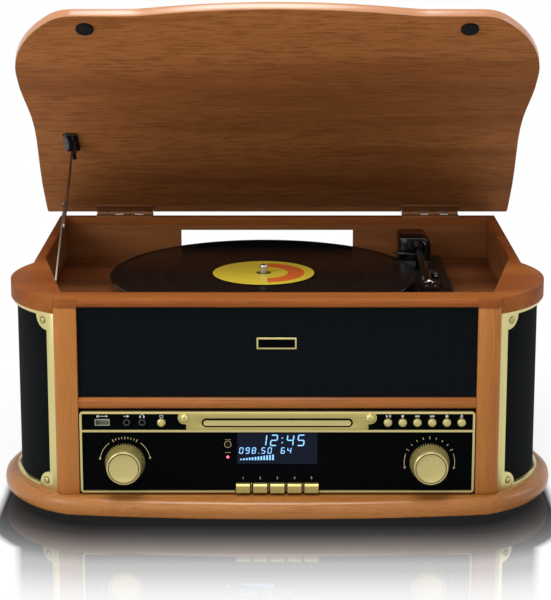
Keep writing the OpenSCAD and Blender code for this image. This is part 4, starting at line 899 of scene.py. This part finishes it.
def digit(character, at, height, stroke):
    """A seven-segment numeral that leans a little, as liquid-crystal ones do."""
    width = height * 0.56
    half_w, half_h = width / 2, height / 2
    bars = {"a": (0, half_h, True), "g": (0, 0, True), "d": (0, -half_h, True),
            "f": (-half_w, half_h / 2, False), "b": (half_w, half_h / 2, False),
            "e": (-half_w, -half_h / 2, False), "c": (half_w, -half_h / 2, False)}
    made = []
    for name in SEGMENTS_ON[character]:
        dx, dz, level = bars[name]
        length = (width if level else half_h) - stroke * 0.5
        size = (length, SEGMENT_DEPTH, stroke) if level else (stroke, SEGMENT_DEPTH, length)
        piece = block(*size, at + Vector(((dx + dz * LEAN) * MM, 0, dz * MM)), SEGMENT_EDGE, 1)
        if not level:
            piece.rotation_euler = (0, math.radians(LEAN_ANGLE), 0)
        made.append(piece)
    return made


def readout(text, left, height_z, height, stroke, pitch):
    """A row of numerals, with a dot or colon where the text has one."""
    made = []
    x = left
    for character in text:
        at = on_front(x, height_z, SEGMENT_Y)
        if character in ".:":
            dots = (-height * 0.22, height * 0.22) if character == ":" else (-height / 2,)
            made += [block(stroke, SEGMENT_DEPTH, stroke,
                           at + Vector((-pitch * 0.24 * MM, 0, dz * MM)), SEGMENT_EDGE, 1)
                     for dz in dots]
            x += pitch * 0.5
        else:
            made += digit(character, at, height, stroke)
            x += pitch
    return made


LEVEL_BARS = 12
segments = readout("12:45", -12.5, 50.4, 9.6, 1.05, 9.6)
segments += readout("098.50", -32.0, 40.9, 5.2, 0.75, 5.6)
segments += readout("64", 5.0, 40.9, 5.2, 0.75, 5.6)
for step in range(LEVEL_BARS):
    level = 1.2 + 0.35 * step
    bar_at = on_front(-32.4 + 2.6 * step, 32.0 + level / 2, SEGMENT_Y)
    segments.append(block(1.5, SEGMENT_DEPTH, level, bar_at, SEGMENT_EDGE, 1))
settle(joined(segments), "display_segments", "cabinet", SEGMENTS)

lamp = turned([(1.25, 0), (1.25, 0.5), (1.0, 0.9), (0.5, 1.15), (0, 1.2)], 24,
              place(LAMP_X, 0.75, LAMP_HEIGHT), FORWARD)
settle(lamp, "power_lamp_dome", "cabinet", LAMP)
sensor = turned([(2.4, 0), (2.4, 0.4), (2.0, 0.8), (1.2, 1.1), (0, 1.2)], 32,
                place(LAMP_X, 1.1, SENSOR_HEIGHT), FORWARD)
settle(sensor, "remote_sensor_dome", "cabinet", LENS)


# ---- Grille badge plate, left bare ----

PLATE_CENTRE = (-0.6, 3.5, 138.8)
rim = block(35.4, 1.6, 10.6, place(*PLATE_CENTRE), 0.5, 3)
only(rim)
bpy.ops.object.mode_set(mode="EDIT")
bpy.ops.mesh.select_all(action="DESELECT")
bpy.ops.object.mode_set(mode="OBJECT")
for face in rim.data.polygons:
    face.select = face.normal.y < -0.99 and face.area > 1e-4
bpy.ops.object.mode_set(mode="EDIT")
bpy.ops.mesh.inset(thickness=1.0 * MM)
bpy.ops.mesh.extrude_region_move(TRANSFORM_OT_translate={"value": (0, 0.5 * MM, 0)})
bpy.ops.object.mode_set(mode="OBJECT")
settle(rim, "badge_plate_rim", "cabinet", GILT)
field = block(33.2, 0.6, 8.4, place(PLATE_CENTRE[0], PLATE_CENTRE[1] - 0.25, PLATE_CENTRE[2]),
              0.15, 2)
settle(field, "badge_plate_field", "cabinet", ACRYLIC)


# ---- Screws ----

# The side grilles curve about the middles of the frame's two ears. Their gilt strips end at the
# pillars, and the lugs with the screws sit at the strips' inner ends.
EAR_X, EAR_DEPTH, TRIM_R = 147.6, 89.0, 95.0
PILLAR_SIDE, STRIP, LUG_IN = 197.2, 6.7, 4.6
TRIM_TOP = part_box("grille_trims")[1].z
TRIM_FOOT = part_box("grille_trims")[0].z
strip_end = -math.acos((PILLAR_SIDE + STRIP - EAR_X) / TRIM_R)
lug_turn = strip_end + LUG_IN / TRIM_R
LUG_RISE = 8.1


def cross_screw(radius, dome):
    """A domed screw head with a cross recess, pointing up its own axis."""
    head = turned([(radius, -0.6), (radius, 0.25), (radius * 0.86, dome * 0.6),
                   (radius * 0.55, dome * 0.92), (0, dome)], 32)
    cutters = [block(radius * 1.2, radius * 0.28, 1.0, (0, 0, dome * MM)),
               block(radius * 0.28, radius * 1.2, 1.0, (0, 0, dome * MM))]
    for cutter in cutters:
        apply_modifier(head, "BOOLEAN", operation="DIFFERENCE", object=cutter, solver="EXACT")
        bpy.data.objects.remove(cutter)
    return head


def set_on(piece, direction, at):
    """Turns a piece's axis to a direction and moves it there."""
    piece.rotation_mode = "QUATERNION"
    piece.rotation_quaternion = Vector(direction).to_track_quat("Z", "Y")
    piece.location = at
    only(piece)
    bpy.ops.object.transform_apply(location=True, rotation=True)
    piece.rotation_mode = "XYZ"
    return piece


# Each gilt screw gets a thin black ring round its head, which is painted shade
lug_screws, lug_shade_rings = [], []
for side in (-1, 1):
    for height in (TRIM_FOOT + LUG_RISE * MM, TRIM_TOP - LUG_RISE * MM):
        direction = Vector((side * math.cos(lug_turn), math.sin(lug_turn), 0))
        spot = place(side * (EAR_X + TRIM_R * math.cos(lug_turn)),
                     EAR_DEPTH + TRIM_R * math.sin(lug_turn), 0)
        spot.z = height
        lug_screws.append(set_on(cross_screw(2.7, 1.3), direction, spot))
        lug_shade_rings.append(set_on(turned([(3.3, -0.2), (3.3, 0.2), (0, 0.2)], 32), direction, spot))
settle(joined(lug_screws), "trim_screws", "cabinet", GILT_TURNED)
settle(joined(lug_shade_rings), "trim_screw_painted_shade_rings", "cabinet", ABS)


# The lugs of the tray's bezel, by x and below its top, and its face behind its front
BEZEL_LUG_X, BEZEL_LUG_DROP, BEZEL_FACE = 82.1, 3.6, 2.2
bezel_low, bezel_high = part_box("tray_bezel")
bezel_face = bezel_low.y + BEZEL_FACE * MM
bezel_screws = []
for side in (-1, 1):
    spot = Vector((side * BEZEL_LUG_X * MM, bezel_face, bezel_high.z - BEZEL_LUG_DROP * MM))
    bezel_screws.append(set_on(cross_screw(4.0, 2.5), (0, -1, 0), spot))
settle(joined(bezel_screws), "bezel_screws", "cabinet", GILT_UPRIGHT)


def drawn_out(piece, by_x, by_y=0.0):
    """Moves the halves of a round piece apart, so that its straight sides come between them."""
    for vertex in piece.data.vertices:
        if abs(vertex.co.x) > 0.01 * MM:
            vertex.co.x += math.copysign(by_x * MM, vertex.co.x)
        if abs(vertex.co.y) > 0.01 * MM:
            vertex.co.y += math.copysign(by_y * MM, vertex.co.y)


# The dark rim of the tray's slot, just outside the tray's round-ended front
slot_rim = turned([(4.0, 0), (4.0, 0.3), (2.6, 0.3), (2.6, 0), (4.0, 0)], 48, closed=False)
drawn_out(slot_rim, 62.85)
slot_rim.rotation_euler = TURNS[FORWARD]
slot_rim.location = Vector((middle("disc_tray").x, bezel_face, middle("disc_tray").z))
settle(slot_rim, "tray_slot_rim", "cabinet", ACRYLIC)

# The stay's rounded foot plate, flat on the lid's underside: its middle and its seat, by their
# distance from the hinge pin up the lid and across it
FOOT_FROM_HINGE, FOOT_SEAT = 143.2, 1.68
stay_low, stay_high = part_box("lid_stay_bracket")
foot_plate = turned([(4.2, 0), (4.2, 1.7), (4.0, 2.1), (3.6, 2.3), (0, 2.3)], 32)
drawn_out(foot_plate, 3.3, 11.6)
foot_plate.rotation_euler = (math.pi - LID_OPEN, 0, 0)
foot_plate.location = (HINGE_PIN + Vector(((stay_low.x + stay_high.x) / 2, 0, 0))
                       + ALONG_LID * FOOT_FROM_HINGE * MM + ACROSS_LID * FOOT_SEAT * MM)
settle(foot_plate, "stay_foot_plate", "lid", ABS_SATIN)


# ---- Hinge pins, bright where the gap shows them ----

HINGE_X = 162.5
PIN_FRONT, PIN_DROP = 2.9, 0.6
pins = []
for side in (-1, 1):
    for along in (-6, 15):
        pin = turned([(0.7, -4.6), (0.9, -4.4), (0.9, 4.4), (0.7, 4.6)], 20)
        pin.rotation_euler = (0, math.pi / 2, 0)
        pin.location = HINGE_PIN + Vector(((side * HINGE_X + along) * MM, -PIN_FRONT * MM,
                                           -PIN_DROP * MM))
        only(pin)
        bpy.ops.object.transform_apply(location=True, rotation=True)
        pins.append(pin)
settle(joined(pins), "hinge_pins", "cabinet", CHROME)


# ---- Tonearm details ----

turret_low, turret_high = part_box("tonearm_turret")
shell_low, shell_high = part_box("headshell")
lever_low, lever_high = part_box("cue_lever")
arm_x = middle("tonearm").x
arm_z = turret_high.z - 10 * MM
bezel = turned([(9.2, -0.4), (9.2, 0.7), (8.7, 1.2), (8.1, 1.2), (7.8, 0.7), (7.8, -0.4),
                (9.2, -0.4)], 64, Vector((arm_x, turret_low.y, arm_z)), FORWARD, closed=False)
settle(bezel, "tonearm_bearing_ring", "turret", ABS_SATIN)
sleeve = turned([(3.15, 0), (3.6, 0.5), (3.6, 7.5), (3.15, 8)], 40,
                Vector((arm_x, shell_high.y - 3 * MM, arm_z)), FORWARD, closed=False)
settle(sleeve, "tonearm_collar", "arm", CHROME)
shell_screws = [turned([(1.5, -0.3), (1.5, 0.5), (1.1, 0.9), (0, 1.0)], 24,
                       Vector((arm_x + side * 4.2 * MM, shell_low.y + depth * MM, shell_high.z)))
                for side in (-1, 1) for depth in (9, 24)]
settle(joined(shell_screws), "headshell_screws", "arm", ABS_SATIN)
grip_at = Vector((middle("cue_lever").x, lever_low.y + 5.2 * MM, lever_high.z - 2.4 * MM))
grip = turned([(1.5, 0), (1.9, 0.4), (1.9, 4.6), (1.5, 5)], 24, grip_at, FORWARD)
settle(grip, "cue_lever_tip", "lever", CHROME)


# ---- Floor, light and camera ----

FLOOR_WHITE = "#f4f4f4"
PLINTH_LOW, PLINTH_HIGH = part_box("plinth")
CORNER = 0.1
# How far the mirrored plinth and the mirrored cabinet reach over the floor, half the cabinet's
# width, and by how much the two narrow over a metre
PLINTH_REACH, CABINET_REACH, CABINET_HALF = 0.074, 0.3, 0.231
NARROWING = 0.72
# How white the floor's mirroring patch is, and how strong its image, by metres from the plinth.
# Both are low next to the plinth, which paints a dark contact shadow there
WHITE_AND_PAINTED_SHADOW_BY_DISTANCE = ((-0.015, 0.015), (0, 0.04), (0.006, 0.051), (0.015, 0.084), (0.025, 0.124),
                     (0.034, 0.17), (0.043, 0.225), (0.052, 0.30), (0.061, 0.40), (0.070, 0.50),
                     (0.079, 0.555), (0.088, 0.575), (0.096, 0.63), (0.104, 0.69),
                     (0.113, 0.753), (0.129, 0.85), (0.144, 0.914), (0.175, 1.0))
IMAGE_AND_PAINTED_SHADOW_BY_DISTANCE = ((-0.015, 0.03), (0.01, 0.05), (0.035, 0.14), (0.08, 0.24), (0.13, 0.13),
                     (0.175, 0.0))


def outside_block(finish, place_in, half_x, reach):
    """How far a point of the floor is outside a block with round corners, drawn out in depth by a
    reach over which it narrows, as a mirror image does."""
    centre = (PLINTH_LOW.y + PLINTH_HIGH.y) / 2
    half_y = (PLINTH_HIGH.y - PLINTH_LOW.y) / 2
    moved = add(finish, "Mapping", {"Vector": place_in}, Location=(0, -centre, 0))
    size = add(finish, "VectorMath", {0: moved.outputs[0]}, operation="ABSOLUTE")
    if reach:
        parts = add(finish, "SeparateXYZ", {"Vector": size.outputs[0]}).outputs
        past = add(finish, "Math", {0: parts["Y"], 1: half_y}, operation="SUBTRACT").outputs[0]
        beyond = add(finish, "Math", {0: past, 1: 0.0}, operation="MAXIMUM").outputs[0]
        extra = add(finish, "Math", {0: beyond, 1: NARROWING}, operation="MULTIPLY").outputs[0]
        wider = add(finish, "Math", {0: 1.0, 1: extra}, operation="ADD").outputs[0]
        wide = add(finish, "Math", {0: parts["X"], 1: wider}, operation="MULTIPLY").outputs[0]
        size = add(finish, "CombineXYZ", {"X": wide, "Y": parts["Y"]})
    core = (half_x - CORNER, half_y + reach - CORNER, 1)
    over = add(finish, "VectorMath", {0: size.outputs[0], 1: core}, operation="SUBTRACT")
    corner = add(finish, "VectorMath", {0: over.outputs[0]}, operation="MAXIMUM")
    length = add(finish, "VectorMath", {0: corner.outputs[0]}, operation="LENGTH")
    return add(finish, "Math", {0: length.outputs["Value"], 1: CORNER},
               operation="SUBTRACT").outputs[0]


def by_distance(finish, distance, stops):
    """A value that follows a list of (metres, value) stops."""
    near, far = stops[0][0], stops[-1][0]
    scaled = add(finish, "MapRange", {"Value": distance}, From_Min=near, From_Max=far)
    shares = [((metres - near) / (far - near), value) for metres, value in stops]
    return add(finish, "ValToRGB", {"Fac": scaled.outputs[0]}, shares).outputs["Color"]


def studio_floor():
    """White studio sheet with a polished patch, which mirrors the front of what stands on it and
    turns white with distance. It is pure white to the camera away from the plinth. Its soft
    contact shadow is partly real, and next to the plinth the patch is drawn dark as painted
    shadow."""
    finish, shader, place_in = start("glossy_white_floor", FLOOR_WHITE, 0.5)
    away = outside_block(finish, place_in, PLINTH_HIGH.x, 0.0)
    under_plinth, under_cabinet = [
        add(finish, "MapRange", {"Value": outside_block(finish, place_in, half, reach)},
            interpolation_type="SMOOTHSTEP", From_Min=-0.005, From_Max=0.005, To_Min=1.0,
            To_Max=0.0).outputs[0]
        for half, reach in ((PLINTH_HIGH.x, PLINTH_REACH), (CABINET_HALF, CABINET_REACH))]
    patch = add(finish, "Math", {0: under_plinth, 1: under_cabinet},
                operation="MAXIMUM").outputs[0]
    # Next to the plinth the patch's white and its image are low: painted contact shadow
    white_share = by_distance(finish, away, WHITE_AND_PAINTED_SHADOW_BY_DISTANCE)
    white_with_painted_shadow = add(finish, "Mix", {SHARE: patch, UNDER: "#ffffff", OVER: white_share},
                     data_type="RGBA").outputs[MIXED]
    image = add(finish, "Math", {0: by_distance(finish, away, IMAGE_AND_PAINTED_SHADOW_BY_DISTANCE), 1: patch},
                operation="MULTIPLY").outputs[0]
    open_air = add(finish, "MapRange", {"Value": away}, From_Max=0.3, To_Min=0.82, To_Max=1.0)
    white = add(finish, "Emission", {"Strength": white_with_painted_shadow})
    gloss = add(finish, "BsdfGlossy", {"Color": image}, Roughness=0.03)
    polished = add(finish, "AddShader", {0: white.outputs[0], 1: gloss.outputs[0]})
    clear = add(finish, "Math", {0: patch, 1: open_air.outputs[0]},
                operation="MAXIMUM").outputs[0]
    shown = add(finish, "Math", {0: clear, 1: seen_rays(finish)}, operation="MULTIPLY").outputs[0]
    sheet = add(finish, "MixShader", {0: shown, 1: shader.outputs[0], 2: polished.outputs[0]})
    output = finish.node_tree.nodes["Material Output"]
    link(finish, sheet.outputs[0], output.inputs["Surface"])
    return finish


bpy.ops.mesh.primitive_plane_add(size=12, location=(0, 0, 0))
floor = bpy.context.object
floor.name = "studio_floor"
floor.data.materials.append(studio_floor())

# A black flag behind the cabinet, seen only in reflections, keeps its level tops deep in colour
bpy.ops.mesh.primitive_plane_add(size=1, location=(0, PLINTH_HIGH.y + 0.06, 0.24),
                                 rotation=(math.pi / 2, 0, 0))
flag = bpy.context.object
flag.name = "black_flag"
flag.scale = (0.64, 0.3, 1)
flag.data.materials.append(start("black_flocked_card", "#040404", 1.0,
                                 Specular_IOR_Level=0.0)[0])
flag.visible_camera = flag.visible_diffuse = flag.visible_shadow = False
flag.visible_transmission = False

WORLD_LIGHT = 0.38


def studio_world():
    """Soft pale surroundings: white to the camera, in mirrors and through glass, and dimmer as
    light."""
    world = bpy.data.worlds.new("studio")
    bpy.context.scene.world = world
    world.use_nodes = True
    background = world.node_tree.nodes["Background"]
    background.inputs["Color"].default_value = (1, 1, 1, 1)
    strength = add(world, "MapRange", {"Value": seen_rays(world)}, To_Min=WORLD_LIGHT, To_Max=1.0)
    link(world, strength.outputs[0], background.inputs["Strength"])


def softbox(name, at, aim, size, power):
    """A square lamp that faces its aim, with its size in metres and its power in watts."""
    bpy.ops.object.light_add(type="AREA", location=at)
    lamp = bpy.context.object
    lamp.name = name
    lamp.data.shape = "SQUARE"
    lamp.data.size = size
    lamp.data.energy = power
    lamp.rotation_mode = "QUATERNION"
    lamp.rotation_quaternion = (Vector(aim) - Vector(at)).to_track_quat("-Z", "Y")
    return lamp


studio_world()
softbox("key_softbox", (-1.8, -1.3, 1.15), (0, 0, 0.25), 1.1, 22)
softbox("fill_softbox", (2.0, 0.0, 0.9), (0, 0, 0.2), 1.0, 9)
softbox("front_card", (-0.3, -3.0, 1.2), (0, 0, 0.2), 2.2, 15)
softbox("top_softbox", (-0.1, -0.52, 2.2), (0, -0.05, 0.3), 0.9, 36)

PHOTO_WIDTH, PHOTO_HEIGHT = 551, 600
FOCAL_PX = 1822.4
SENSOR = 36
AXIS_PX = (278.1, 210.0)
CAMERA_AT = place(0.7, -1543.6, 573.8)
CAMERA_DOWN = math.radians(11.519)
bpy.ops.object.camera_add(location=CAMERA_AT, rotation=(math.pi / 2 - CAMERA_DOWN, 0, 0))
camera = bpy.context.object
camera.data.sensor_width = SENSOR
camera.data.lens = FOCAL_PX * SENSOR / PHOTO_HEIGHT
camera.data.shift_x = (PHOTO_WIDTH / 2 - AXIS_PX[0]) / PHOTO_HEIGHT
camera.data.shift_y = (AXIS_PX[1] - PHOTO_HEIGHT / 2) / PHOTO_HEIGHT
camera.data.clip_start = 0.05
bpy.context.scene.camera = camera
bpy.context.scene.view_settings.view_transform = "Standard"
